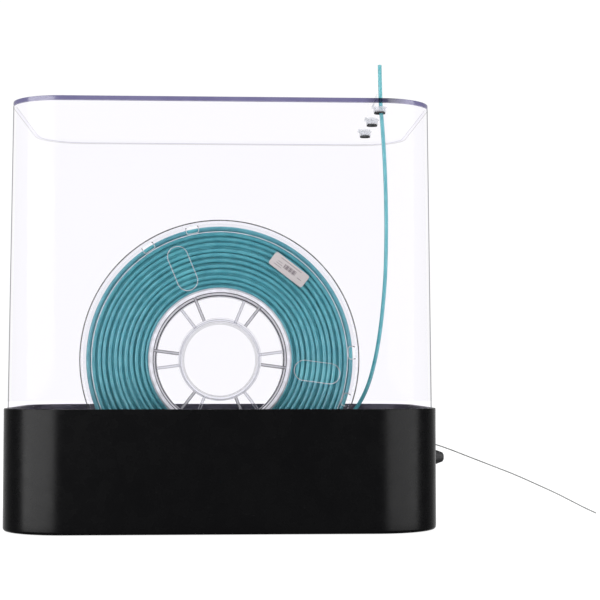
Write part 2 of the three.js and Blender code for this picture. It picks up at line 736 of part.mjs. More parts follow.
function rimHoles() {
  const HOLE_LENGTH = 8.5;
  const HOLE_WIDTH = 4.8;
  const HOLE_RADIUS = 94.8;
  const HOLE_SPREAD = 10.3;
  return WINDOW_ANGLES.flatMap((angle) => [angle - HOLE_SPREAD, angle + HOLE_SPREAD]).map((angle) => {
    const slot = slotAlongX(HOLE_LENGTH, HOLE_WIDTH, THROUGH_FLANGE, 3).rotateY(Math.PI / 2);
    return solid(slot.translate(HOLE_RADIUS, 0, 0).rotateY(-THREE.MathUtils.degToRad(angle)));
  });
}

function filamentWinding() {
  const reach = FLANGE_INNER_FACE - CLEARANCE;
  const ring = band(DRUM_OUTER + CLEARANCE, WINDING_OUTER, -reach, reach);
  return solid(turnedY(ring, LARGE_ROUND_STEPS));
}

function spoolLabel() {
  const LABEL_RADIUS = 81;
  const LABEL_ANGLE = 52.5;
  const LABEL_HALF_LENGTH = 15;
  const LABEL_HALF_HEIGHT = 5.25;
  const LABEL_THICKNESS = 0.3;
  const face = FLANGE_OUTER_FACE + CLEARANCE;
  const radial = [LABEL_RADIUS - LABEL_HALF_HEIGHT, LABEL_RADIUS + LABEL_HALF_HEIGHT];
  const depth = [-face - LABEL_THICKNESS, -face];
  const paper = block(radial, depth, [-LABEL_HALF_LENGTH, LABEL_HALF_LENGTH]);
  return solid(paper.rotateY(-THREE.MathUtils.degToRad(LABEL_ANGLE)));
}

function spool() {
  const set = new THREE.Group();
  set.add(piece("spool_half_front", spoolHalf(), CLEAR_PLASTIC));
  const rear = piece("spool_half_rear", spoolHalf(), CLEAR_PLASTIC);
  rear.rotation.x = Math.PI;
  set.add(rear);
  set.add(piece("filament_winding", filamentWinding(), TEAL_FILAMENT));
  set.add(piece("spool_label", spoolLabel(), WHITE_PAPER));
  return placed(set, SPOOL_X, SPOOL_Y, SPOOL_Z);
}

// The free end of the filament leaves the winding at its lower right, bows out beside the spool and
// stands out of the front outlet.
function filamentStrand() {
  const route = [
    [69, SPOOL_Y, 56.2],
    [84.7, SPOOL_Y, 72.3],
    [94, SPOOL_Y, 81.7],
    [101, SPOOL_Y, 90.5],
    [107.8, SPOOL_Y, 104],
    [113.4, SPOOL_Y, 123.6],
    [117.2, SPOOL_Y, 145],
    [119.8, SPOOL_Y, 168],
    [121.2, SPOOL_Y, 187],
    [121.8, SPOOL_Y, 205],
    [122, SPOOL_Y, 224],
    [121.8, SPOOL_Y, 242.3],
    [121, SPOOL_Y, 268],
    [119.5, SPOOL_Y, 294.5],
    [118.2, SPOOL_Y, 311.7],
    [117.7, SPOOL_Y, 328],
    [117.4, SPOOL_Y, 343.2],
  ];
  return piece("filament_strand", solid(cord(route, FILAMENT_RADIUS, STRAND_STEPS)), TEAL_FILAMENT);
}

// ---------------------------------------------------------------- assembly

const dryBox = new THREE.Group();
dryBox.add(piece("base_shell", tubShell(), BLACK_PLASTIC), coverGasket(), ...feet());
dryBox.add(...axleBlocks(), axleSet("left"), axleSet("right"));
dryBox.add(desiccantSet("left"), desiccantSet("right"));
dryBox.add(stopperBush(), strandBush(), sideStopper(), sideStrand());
dryBox.add(coverWall(), coverTop());
for (const [name, y] of Object.entries(OUTLET_YS)) dryBox.add(outlet(name, y));
dryBox.add(spool(), filamentStrand());

export default dryBox;
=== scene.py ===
import math

import bmesh
import bpy
from mathutils import Matrix, Vector, noise

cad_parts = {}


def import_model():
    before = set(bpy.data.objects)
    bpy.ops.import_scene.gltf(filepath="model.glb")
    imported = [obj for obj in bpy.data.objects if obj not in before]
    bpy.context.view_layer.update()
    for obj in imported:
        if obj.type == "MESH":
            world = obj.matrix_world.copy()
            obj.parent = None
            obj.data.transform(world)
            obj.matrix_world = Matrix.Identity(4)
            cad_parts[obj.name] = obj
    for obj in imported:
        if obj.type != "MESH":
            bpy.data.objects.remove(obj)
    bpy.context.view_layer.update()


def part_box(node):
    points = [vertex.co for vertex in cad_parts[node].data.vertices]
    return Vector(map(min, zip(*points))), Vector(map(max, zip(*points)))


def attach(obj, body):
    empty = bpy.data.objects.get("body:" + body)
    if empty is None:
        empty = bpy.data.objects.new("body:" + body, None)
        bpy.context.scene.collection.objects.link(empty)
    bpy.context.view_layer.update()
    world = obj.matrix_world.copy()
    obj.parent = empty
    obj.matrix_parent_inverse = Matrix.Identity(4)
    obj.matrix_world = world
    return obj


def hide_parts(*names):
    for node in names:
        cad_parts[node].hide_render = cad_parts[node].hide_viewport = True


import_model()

MM = 0.001


def box_mm(node):
    """The lowest and highest corner of a CAD node, in millimetres."""
    return [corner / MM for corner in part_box(node)]


def plan_centre(node):
    """The middle of a CAD node seen from above, at ground level."""
    low, high = box_mm(node)
    return Vector(((low.x + high.x) / 2, (low.y + high.y) / 2, 0))


# ---------------- sizes, in millimetres, from the frame

TUB_LOW, TUB_HIGH = box_mm("base_shell")
PLATE_LOW, PLATE_HIGH = box_mm("cover_top")
WALL_LOW, WALL_HIGH = box_mm("cover_wall")
GASKET_LOW, GASKET_HIGH = box_mm("cover_gasket")
HALF_LOW, HALF_HIGH = box_mm("spool_half_front")
REAR_HIGH = box_mm("spool_half_rear")[1]

TUB_HALF_WIDTH = TUB_HIGH.x
TUB_HALF_DEPTH = TUB_HIGH.y
TUB_BOTTOM = TUB_LOW.z
TUB_RIM = TUB_HIGH.z
TUB_CORNER = 47.5
TUB_WALL = 3.0
TUB_FLOOR = 4.5
RIM_WALL = 2.2
LEDGE_TOP = 79.0
LEDGE_INSET = 7.4

COVER_INSET = 2.7
COVER_DRAFT = 2.8
COVER_WALL = 2.5
COVER_TOP = PLATE_HIGH.z
COVER_CORNER = TUB_CORNER - COVER_INSET
COVER_TOP_CORNER = 38.0

PORT_HOLES = {"stopper_bush": 6.4, "strand_bush": 2.9}
OUTLET_HOLE = 5.0
FLANGE_TOP = COVER_TOP + 0.9
HINGE_OFFSET = 5.0
HINGE_RADIUS = 0.7
HINGE_Z = FLANGE_TOP + 0.3 + HINGE_RADIUS
CAP_THICKNESS = 1.1
FRONT_CAP_OPEN = 72

ROLLER_BORE = 11.3
GROOVE_RADIUS = 13.0
DIMPLE_RING = 13.6
AXLE_NOTCH = 4.4

SPOOL_CENTRE = Vector((
    (HALF_LOW.x + HALF_HIGH.x) / 2,
    (HALF_LOW.y + REAR_HIGH.y) / 2,
    (HALF_LOW.z + HALF_HIGH.z) / 2,
))
SPOOL_RADIUS = (HALF_HIGH.x - HALF_LOW.x) / 2
SPOOL_HALF_WIDTH = (REAR_HIGH.y - HALF_LOW.y) / 2
RIM_DEPTH = 3.5
RIM_BAND = 2.0
FLANGE_OUTER_FACE = 32.4
FLANGE_INNER_FACE = 30.6
DRUM_OUTER = 50.0
DRUM_INNER = 47.3
HUB_BEAD = 50.6
LIP = 0.7
BORE_RADIUS = 26.8
BORE_TUBE_OUTER = 29.7
BEAD_RADIUS = 91.3
BEAD_HALF = 0.2
BEAD_RISE = 0.35
SPLIT = -0.15
WINDING_OUTER = 95.6
WINDOW_ANGLES = (112.5, -7.5, -127.5)
SPOKE_COUNT = 6
LAYERS = 12
TURNS_ACROSS = 17
TURN_STEPS = 144
GOLDEN_ANGLE = 2.399963

FILAMENT_RADIUS = 1.425
SIDE_STRAND_RADIUS = 0.5
OUTLETS = ("front", "middle", "rear")
SIDES = {"left": -1, "right": 1}
ENDS = {"front": -1, "rear": 1}

CAMERA_PLACE = (-0.0027, -1.2295, 0.1115)
CAMERA_YAW = math.radians(2.974)
CAMERA_PITCH = math.radians(2.758)
LENS_MM = 95.14
SENSOR_MM = 36.0
WORLD_LIGHT = 1.04
WORLD_GLOSS_LOW = 0.05
FLOOR_RADIUS = 6000.0
FLOOR_SINK = 0.3

CLEAR, EDGE, RIM, BEAD, HAZE, DRUM, SPOKE = range(7)


# ---------------- shader nodes

class Nodes:
    """The node tree of a new material or world, built node by node."""

    def __init__(self, name, kind="Material"):
        owners = {"Material": bpy.data.materials, "World": bpy.data.worlds}[kind]
        self.owner = owners.new(name)
        self.owner.use_nodes = True
        self.tree = self.owner.node_tree
        self.tree.nodes.clear()
        self.output = self.tree.nodes.new("ShaderNodeOutput" + kind)

    def add(self, kind, settings=None, **inputs):
        node = self.tree.nodes.new("ShaderNode" + kind)
        for key, value in (settings or {}).items():
            setattr(node, key, value)
        for key, value in inputs.items():
            self.put(node.inputs[key.replace("_", " ")], value)
        return node

    def put(self, socket, value):
        """Links a socket, or sets its number, vector or colour."""
        if isinstance(value, bpy.types.NodeSocket):
            self.tree.links.new(value, socket)
        elif socket.type == "RGBA":
            socket.default_value = (*value, 1.0)
        else:
            socket.default_value = value

    def maths(self, operation, *values):
        node = self.add("Math", {"operation": operation})
        for socket, value in zip(node.inputs, values):
            self.put(socket, value)
        return node.outputs[0]

    def outside(self):
        """1 where a face is seen from its outer side."""
        return self.maths("SUBTRACT", 1.0, self.add("NewGeometry").outputs["Backfacing"])

    def mirrored(self, ior, share=1.0):
        """How much the outer side mirrors: more where it turns away."""
        fresnel = self.add("Fresnel", IOR=ior).outputs[0]
        return self.maths("MULTIPLY", self.maths("MULTIPLY", fresnel, share), self.outside())

    def place(self):
        return self.add("TexCoord").outputs["Object"]

    def noise(self, size_mm, detail=3.0, vector=None):
        """Noise from 0 to 1 whose grains are about size_mm across."""
        made = self.add("TexNoise", Scale=1 / (size_mm * MM), Detail=detail)
        self.put(made.inputs["Vector"], vector or self.place())
        return made.outputs["Fac"]

    def between(self, value, low, high, start=0.0, end=1.0):
        made = self.add("MapRange")
        self.put(made.inputs["Value"], value)
        for name, number in (("From Min", start), ("From Max", end), ("To Min", low), ("To Max", high)):
            self.put(made.inputs[name], number)
        return made.outputs["Result"]

    def blend(self, factor, first, second):
        """A colour between two others. The mix node's colour sockets are found by number."""
        made = self.add("Mix", {"data_type": "RGBA"}, Factor=factor)
        self.put(made.inputs[6], first)
        self.put(made.inputs[7], second)
        return made.outputs[2]

    def bump(self, height, depth_mm, strength=1.0):
        made = self.add("Bump", Strength=strength, Distance=depth_mm * MM)
        self.put(made.inputs["Height"], height)
        return made.outputs["Normal"]

    def mix(self, factor, first, second):
        made = self.add("MixShader")
        self.put(made.inputs[0], factor)
        self.put(made.inputs[1], first.outputs[0])
        self.put(made.inputs[2], second.outputs[0])
        return made

    def passing(self, tint):
        """Clear: it passes light straight on, with a tint."""
        return self.add("BsdfTransparent", Color=tint)

    def solid(self, shade, roughness, **inputs):
        return self.add("BsdfPrincipled", Base_Color=shade, Roughness=roughness, **inputs)

    def done(self, shader):
        self.tree.links.new(shader.outputs[0], self.output.inputs["Surface"])
        return self.owner


# ---------------- materials

def moulded_plastic(name, dark, light, rough, grain_mm, grain_depth_mm, shine=0.5):
    """Moulded plastic with a fine spark-eroded grain, faint handling marks and uneven gloss."""
    n = Nodes(name)
    shade = n.blend(n.noise(40.0, 2.0), dark, light)
    gloss = n.between(n.noise(9.0, 4.0), rough[0], rough[1], 0.3, 0.7)
    relief = n.bump(n.noise(grain_mm, 2.0), grain_depth_mm)
    return n.done(n.solid(shade, gloss, Normal=relief, Specular_IOR_Level=shine))


def rubber():
    """Matt black rubber, a little dusty."""
    n = Nodes("black_rubber")
    shade = n.blend(n.noise(2.5, 4.0), (0.014, 0.014, 0.016), (0.032, 0.032, 0.035))
    relief = n.bump(n.noise(0.25, 3.0), 0.02)
    gloss = n.between(n.noise(1.5), 0.5, 0.75)
    return n.done(n.solid(shade, gloss, Normal=relief))


def clear_sheet(name, tint, edge_tint, edge_from, gloss):
    """The outside of clear sheet: it passes light straight on, and darkens where it turns away."""
    ramp = 0.05
    n = Nodes(name)
    facing = n.add("LayerWeight", Blend=0.5).outputs["Facing"]
    turned_away = n.maths("MULTIPLY", n.between(facing, 0.0, 1.0, edge_from, edge_from + ramp), n.outside())
    passed = n.passing(n.blend(turned_away, tint, edge_tint))
    shine = n.add("BsdfGlossy", Roughness=n.between(n.noise(30.0, 2.0), 0.06, 0.12))
    return n.done(n.mix(n.mirrored(1.45, gloss), passed, shine))


def clear_inside(name, tint):
    """The inner face of clear sheet, which adds only a faint cast."""
    n = Nodes(name)
    cast = n.blend(n.noise(120.0, 1.0), tint, [(1 + 2 * part) / 3 for part in tint])
    return n.done(n.passing(cast))


def violet_edge(name, from_inside):
    """The polished edge of the top plate, where the sheet's violet cast shows, with paler patches painted in
    as reflections inside the edge. Near the outlets it is painted dark, for the grommets seen through it.
    """
    dark_until, clear_from = 0.004, 0.016
    n = Nodes(name)
    # Painted dark: along the outlets' line the band is blended towards near-black, standing in for the dark
    # grommets seen through it.
    along = n.add("SeparateXYZ", Vector=n.place()).outputs["X"]
    outlet_x = plan_centre("outlet_grommet_front").x * MM
    offset = n.maths("ABSOLUTE", n.maths("SUBTRACT", along, outlet_x))
    near = n.between(offset, 1.0, 0.0, dark_until, clear_from)
    # Painted reflections: paler violet patches that stand in for light reflected inside the edge.
    streaks = n.between(n.noise(14.0, 2.0), 0.0, 0.35, 0.35, 0.7)
    violet = n.blend(streaks, (0.19, 0.175, 0.33), (0.27, 0.255, 0.42))
    shade = n.blend(n.maths("MULTIPLY", near, 0.75), violet, (0.02, 0.02, 0.05))
    inside = n.add("NewGeometry").outputs["Backfacing"]
    passed = n.passing(n.blend(inside, shade, from_inside))
    shine = n.add("BsdfGlossy", Roughness=0.16)
    return n.done(n.mix(n.mirrored(1.7), passed, shine))


def painted_edge_light(name, share, tone):
    """The rounded edges and corners of clear mouldings, painted as a part-opaque body of the given tone:
    painted highlights and painted dark lines that stand in for how clear edges catch light and look grey.
    """
    n = Nodes(name)
    passed = n.passing((0.9, 0.9, 0.92))
    shade = n.blend(n.noise(6.0, 2.0), (tone, tone, tone), (tone * 1.5, tone * 1.5, tone * 1.6))
    body = n.solid(shade, 0.18)
    return n.done(n.mix(n.between(n.noise(8.0, 2.0), share * 0.85, share * 1.15, 0.3, 0.7), passed, body))


def clear_moulding():
    """The flat faces of the clear spool: nearly nothing but gloss and a faint cool veil."""
    n = Nodes("clear_moulding")
    passed = n.passing((0.985, 0.987, 0.995))
    ripple = n.bump(n.noise(25.0, 2.0), 0.05)
    shine = n.add("BsdfGlossy", Roughness=0.08, Normal=ripple)
    return n.done(n.mix(n.mirrored(1.5), passed, shine))


def cloudy_plastic():
    """Natural, milky plastic of the caps and collars."""
    n = Nodes("cloudy_plastic")
    passed = n.passing((0.93, 0.935, 0.94))
    shade = n.blend(n.noise(3.0), (0.78, 0.79, 0.8), (0.9, 0.91, 0.92))
    body = n.solid(shade, 0.25)
    return n.done(n.mix(0.36, passed, body))


def filament(name, dark, light, rough):
    """Extruded filament: satin, with fine draw lines and a slightly uneven shade."""
    n = Nodes(name)
    shade = n.blend(n.between(n.noise(7.0, 4.0), 0.0, 1.0, 0.3, 0.7), dark, light)
    relief = n.bump(n.noise(0.6, 3.0), 0.03, 0.5)
    return n.done(n.solid(shade, rough, Normal=relief, Coat_Weight=0.25, Coat_Roughness=0.2))


def ground_steel():
    """Ground steel with fine turning lines round its axis."""
    n = Nodes("ground_steel")
    stretched = n.add("Mapping", Vector=n.place(), Scale=(0.05, 1.0, 0.05)).outputs[0]
    lines = n.noise(0.15, 2.0, stretched)
    gloss = n.between(lines, 0.18, 0.42)
    relief = n.bump(lines, 0.005)
    return n.done(n.solid((0.56, 0.57, 0.6), gloss, Normal=relief, Metallic=1.0))


def label_finish(name, dark, light, grain_mm):
    """Label paper or the ink on it, with the paper's fibres."""
    n = Nodes(name)
    fibres = n.noise(grain_mm, 5.0)
    shade = n.blend(fibres, dark, light)
    return n.done(n.solid(shade, 0.6, Normal=n.bump(fibres, 0.01)))


def sachet_cloth():
    """White non-woven cloth with a point-bonded dimple pattern."""
    n = Nodes("sachet_cloth")
    dots = n.add("TexVoronoi", Scale=1 / (1.4 * MM), Vector=n.place()).outputs["Distance"]
    fibres = n.noise(0.5, 6.0)
    shade = n.blend(fibres, (0.72, 0.72, 0.7), (0.88, 0.88, 0.86))
    relief = n.bump(n.maths("ADD", dots, n.maths("MULTIPLY", fibres, 0.4)), 0.15)
    return n.done(n.solid(shade, 0.9, Normal=relief, Sheen_Weight=0.3))


TUB_BLACK = moulded_plastic(
    "tub_black", (0.003, 0.003, 0.0035), (0.0045, 0.0045, 0.005), (0.24, 0.3), 0.6, 0.004, shine=0.13
)
# Painted light: the tub's inner faces are the same black plastic, painted lighter and violet as light from
# the violet cover.
TUB_INSIDE_PAINTED_LIGHT = moulded_plastic(
    "tub_inside_painted_light", (0.040, 0.037, 0.052), (0.060, 0.055, 0.077), (0.35, 0.45), 0.5, 0.01
)
INNER_BLACK = moulded_plastic(
    "inner_black", (0.010, 0.010, 0.012), (0.02, 0.02, 0.023), (0.4, 0.55), 0.5, 0.02
)
DARK_GREY = moulded_plastic(
    "dark_grey", (0.05, 0.052, 0.058), (0.075, 0.077, 0.085), (0.4, 0.55), 0.6, 0.02
)
RUBBER = rubber()
SHEET_OUTSIDE = clear_sheet("sheet_outside", (0.987, 0.984, 0.994), (0.93, 0.92, 0.95), 0.9, 0.3)
SHEET_CORNER = clear_sheet("sheet_corner", (0.987, 0.984, 0.994), (0.3, 0.3, 0.32), 0.79, 0.3)
SHEET_INSIDE = clear_inside("sheet_inside", (0.982, 0.978, 0.993))
PLATE_TOP = clear_sheet("plate_top", (0.995, 0.993, 0.997), (0.93, 0.92, 0.95), 0.9, 0.3)
PLATE_UNDER = clear_inside("plate_under", (0.99, 0.985, 0.997))
# Both edges carry the painted reflections and the painted dark near the outlets.
PLATE_EDGE = violet_edge("plate_edge", (0.97, 0.97, 0.98))
JOINT_LINE = violet_edge("joint_line", (0.64, 0.63, 0.62))
SPOOL_CLEAR = clear_moulding()
# Painted light and shade on the clear spool: grey on its rounded edges, standing in for how they refract and
# reflect.
SPOOL_EDGE = painted_edge_light("spool_edge", 0.6, 0.55)
# A dark line painted round the outer edge of the rim, as the shade its silhouette shows.
SPOOL_RIM_SHADE = painted_edge_light("spool_rim_shade", 0.85, 0.07)
# A white highlight painted on the bead ring.
SPOOL_BEAD_HIGHLIGHT = painted_edge_light("spool_bead_highlight", 0.85, 0.75)
SPOOL_HAZE = painted_edge_light("spool_haze", 0.04, 0.6)
# A fainter painted grey for the rear half's spokes: a lighter copy of the front spokes' finish.
SPOOL_REAR_SPOKE = painted_edge_light("spool_rear_spoke", 0.10, 0.5)
# A near-white body painted on the drum, standing in for its grazing reflection of the white room.
SPOOL_DRUM_REFLECTION = painted_edge_light("spool_drum_reflection", 0.8, 0.8)
# Grey painted on the front spokes, standing in for their light and shade.
SPOOL_SPOKE = painted_edge_light("spool_spoke", 0.55, 0.45)
CLOUDY = cloudy_plastic()
TEAL = filament("teal_filament", (0.062, 0.345, 0.40), (0.11, 0.45, 0.50), 0.38)
GREY = filament("grey_filament", (0.17, 0.175, 0.175), (0.25, 0.255, 0.255), 0.4)
STEEL = ground_steel()
CLOTH = sachet_cloth()
LABEL_PAPER = label_finish("label_paper", (0.44, 0.41, 0.40), (0.58, 0.54, 0.52), 0.35)
LABEL_INK = label_finish("label_ink", (0.05, 0.04, 0.05), (0.25, 0.2, 0.22), 0.6)


# ---------------- outlines and skins, in millimetres

def rounded(corners, radius, steps=4, closed=True):
    """An outline with its corners rounded off, and a mark for each stretch: EDGE on a round."""
    most = 0.45  # of a side, so that two rounds never meet
    points, marks = [], []
    last = len(corners) - 1
    for index, here in enumerate(corners):
        here = Vector(here)
        if not closed and index in (0, last):
            points.append(here)
            marks.append(CLEAR)
            continue
        before = Vector(corners[index - 1]) - here
        after = Vector(corners[(index + 1) % len(corners)]) - here
        start = here + before.normalized() * min(radius, before.length * most)
        end = here + after.normalized() * min(radius, after.length * most)
        for step in range(steps + 1):
            t = step / steps
            points.append(start * (1 - t) ** 2 + here * 2 * t * (1 - t) + end * t ** 2)
            marks.append(EDGE if step < steps else CLEAR)
    return points, marks


def loft(rings, marks=None, closed=False):
    """A skin through rings of points. An open one gets a flat lid at each end."""
    count = len(rings[0])
    points = [Vector(point) for ring in rings for point in ring]
    faces, finishes = [], []
    for band in range(len(rings) if closed else len(rings) - 1):
        here = band * count
        there = (band + 1) % len(rings) * count
        for i in range(count):
            j = (i + 1) % count
            faces.append((here + i, here + j, there + j, there + i))
            finishes.append(marks[band] if marks else CLEAR)
    if not closed:
        faces.append(tuple(reversed(range(count))))
        faces.append(tuple(range(len(points) - count, len(points))))
        finishes += [CLEAR, CLEAR]
    return points, faces, finishes


def joined(*shapes):
    """Several skins as one."""
    points, faces, finishes = [], [], []
    for some_points, some_faces, some_finishes in shapes:
        start = len(points)
        points += some_points
        faces += [tuple(start + i for i in face) for face in some_faces]
        finishes += some_finishes
    return points, faces, finishes


def marked(shape, mark):
    return shape[0], shape[1], [mark] * len(shape[1])


def moved(shape, matrix):
    return [matrix @ point for point in shape[0]], shape[1], shape[2]


def circle(radius, along, axis, centre, steps):
    """A ring of points round an axis through centre, at a distance along it."""
    ring = []
    for i in range(steps):
        angle = 2 * math.pi * i / steps
        u, v = radius * math.cos(angle), radius * math.sin(angle)
        offset = {"X": (along, u, v), "Y": (u, along, v), "Z": (u, v, along)}[axis]
        ring.append(Vector(centre) + Vector(offset))
    return ring


def turned(corners, axis, centre, steps=48, radius=0.3, closed=True, fillet_steps=3):
    """A body of revolution from (radius, distance along the axis) corners, with its edges rounded."""
    profile, marks = rounded(corners, radius, fillet_steps, closed)
    rings = [circle(r, along, axis, centre, steps) for r, along in profile]
    return loft(rings, marks, closed)


def rectangle(half_width, half_depth, corner, z, steps=16, centre=(0.0, 0.0)):
    """A ring of points round a rectangle with round corners, at a height."""
    ring = []
    for quarter in range(4):
        sign_x = 1 if quarter in (0, 3) else -1
        sign_y = 1 if quarter < 2 else -1
        for step in range(steps + 1):
            angle = (quarter + step / steps) * math.pi / 2
            x = centre[0] + sign_x * (half_width - corner) + corner * math.cos(angle)
            y = centre[1] + sign_y * (half_depth - corner) + corner * math.sin(angle)
            ring.append(Vector((x, y, z)))
    return ring


def slab(half_width, half_depth, corner, low, high, edge=0.3, steps=6, centre=(0.0, 0.0)):
    """A plate with round corners and eased edges."""
    levels = [(edge, low), (edge * 0.3, low + edge * 0.3), (0, low + edge)]
    levels += [(0, high - edge), (edge * 0.3, high - edge * 0.3), (edge, high)]
    rings = []
    for inset, z in levels:
        rings.append(rectangle(half_width - inset, half_depth - inset, corner - inset, z, steps, centre))
    return loft(rings, [EDGE, EDGE, CLEAR, EDGE, EDGE])


# ---------------- pieces

def new_object(name, shape, materials):
    """An object from a skin in millimetres, with its faces turned outwards."""
    points, faces, finishes = shape
    mesh = bpy.data.meshes.new(name)
    mesh.from_pydata([point * MM for point in points], [], faces)
    for material in materials:
        mesh.materials.append(material)
    mesh.polygons.foreach_set("material_index", [min(mark, len(materials) - 1) for mark in finishes])
    made = bpy.data.objects.new(name, mesh)
    bpy.context.scene.collection.objects.link(made)
    turn_outwards(mesh)
    return made


def turn_outwards(mesh):
    work = bmesh.new()
    work.from_mesh(mesh)
    bmesh.ops.remove_doubles(work, verts=work.verts, dist=1e-7)
    bmesh.ops.recalc_face_normals(work, faces=work.faces)
    work.to_mesh(mesh)
    work.free()


def smooth(piece, angle=28):
    piece.data.shade_smooth()
    piece.data.set_sharp_from_angle(angle=math.radians(angle))


def carve(piece, tool_shape, operation="DIFFERENCE"):
    """Cuts a skin out of a piece, or joins it on."""
    tool = new_object("tool", tool_shape, list(piece.data.materials))
    modifier = piece.modifiers.new("carve", "BOOLEAN")
    modifier.operation = operation
    modifier.solver = "EXACT"
    modifier.object = tool
    graph = bpy.context.evaluated_depsgraph_get()
    result = bpy.data.meshes.new_from_object(piece.evaluated_get(graph))
    piece.modifiers.clear()
    piece.data = result
    bpy.data.objects.remove(tool)


def make(name, shape, materials, body, nodes, cuts=(), additions=(), angle=28):
    """A piece of the object that stands for CAD nodes and rides on a body."""
    piece = new_object(name, shape, materials)
    for addition in additions:
        carve(piece, addition, "UNION")
    for tool in cuts:
        carve(piece, tool)
    smooth(piece, angle)
    return fitted(piece, body, nodes)


def fitted(piece, body, nodes):
    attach(piece, body)
    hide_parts(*nodes)
    return piece


# ---------------- camera

def camera():
    """A long lens straight in front of the box, level with its lower third and tilted up a little."""
    made = bpy.data.cameras.new("camera")
    made.lens = LENS_MM
    made.sensor_width = SENSOR_MM
    made.clip_start = 0.05
    made.clip_end = 50.0
    holder = bpy.data.objects.new("camera", made)
    holder.location = CAMERA_PLACE
    level = math.cos(CAMERA_PITCH)
    ahead = Vector((math.sin(CAMERA_YAW) * level, math.cos(CAMERA_YAW) * level, math.sin(CAMERA_PITCH)))
    holder.rotation_euler = ahead.to_track_quat("-Z", "Y").to_euler()
    bpy.context.scene.collection.objects.link(holder)
    bpy.context.scene.camera = holder


# ---------------- cords

def smooth_route(points, pieces_between=8):
    """A finer list of points on a centripetal curve through the given ones."""
    ends = [points[0] * 2 - points[1]] + points + [points[-1] * 2 - points[-2]]
    fine = []
    for p0, p1, p2, p3 in zip(ends, ends[1:], ends[2:], ends[3:]):
        t1 = (p1 - p0).length ** 0.5
        t2 = t1 + (p2 - p1).length ** 0.5
        t3 = t2 + (p3 - p2).length ** 0.5
        for step in range(pieces_between):
            t = t1 + (t2 - t1) * step / pieces_between
            a1 = p0 * ((t1 - t) / t1) + p1 * (t / t1)
            a2 = p1 * ((t2 - t) / (t2 - t1)) + p2 * ((t - t1) / (t2 - t1))
            a3 = p2 * ((t3 - t) / (t3 - t2)) + p3 * ((t - t2) / (t3 - t2))
            b1 = a1 * ((t2 - t) / t2) + a2 * (t / t2)
            b2 = a2 * ((t3 - t) / (t3 - t1)) + a3 * ((t - t1) / (t3 - t1))
            fine.append(b1 * ((t2 - t) / (t2 - t1)) + b2 * ((t - t1) / (t2 - t1)))
    return fine + [points[-1]]


def strand(node, route, radius, material):
    """A cord of one spline through the route, riding on the base."""
    name = node + "_cord"
    points = smooth_route([Vector(point) for point in route])
    curve = bpy.data.curves.new(name, "CURVE")
    curve.dimensions = "3D"
    curve.bevel_depth = radius * MM
    curve.bevel_resolution = 5
    curve.use_fill_caps = True
    spline = curve.splines.new("POLY")
    spline.points.add(len(points) - 1)
    for place, point in zip(spline.points, points):
        place.co = (*point, 1.0)
    spline.use_smooth = True
    curve.materials.append(material)
    made = bpy.data.objects.new(name, curve)
    bpy.context.scene.collection.objects.link(made)
    fitted(made, "base", [node])


def filament_strand():
    """The filament's free end bows up beside the spool and stands out of the front outlet."""
    y = -0.062
    route = [
        (0.069, y, 0.0562), (0.0847, y, 0.0723), (0.094, y, 0.0817),
        (0.101, y, 0.0905), (0.1078, y, 0.104), (0.1134, y, 0.1236),
        (0.1172, y, 0.145), (0.1198, y, 0.168), (0.1212, y, 0.187),
        (0.1218, y, 0.205), (0.122, y, 0.224), (0.1218, y, 0.2423),
        (0.121, y, 0.268), (0.1195, y, 0.2945), (0.1182, y, 0.3117),
        (0.1177, y, 0.328), (0.1174, y, 0.3432),
    ]
    strand("filament_strand", route, FILAMENT_RADIUS, TEAL)


def side_strand():
    """A thin strand leaves the tub's side and bows down until its bare end rests on the ground."""
    route = [
        (0.15, 0.014, 0.0594), (0.154, 0.014, 0.0594), (0.1585, 0.0141, 0.0594),
        (0.1636, 0.0152, 0.059), (0.1696, 0.0169, 0.0577), (0.18, 0.0194, 0.0542),
        (0.1941, 0.0228, 0.0488), (0.2094, 0.0264, 0.0429), (0.2206, 0.0291, 0.0386),
        (0.2325, 0.0319, 0.034), (0.2424, 0.0343, 0.0298), (0.2519, 0.0366, 0.0256),
        (0.2618, 0.0389, 0.0212), (0.2715, 0.0412, 0.0167), (0.2814, 0.0436, 0.0118),
        (0.2911, 0.0459, 0.0069), (0.2986, 0.0477, 0.0033), (0.304, 0.049, 0.0009),
    ]
    strand("side_strand", route, SIDE_STRAND_RADIUS, GREY)


# ---------------- tub

def tub_ring(inset, z, steps=24):
    return rectangle(TUB_HALF_WIDTH - inset, TUB_HALF_DEPTH - inset, TUB_CORNER - inset, z, steps)


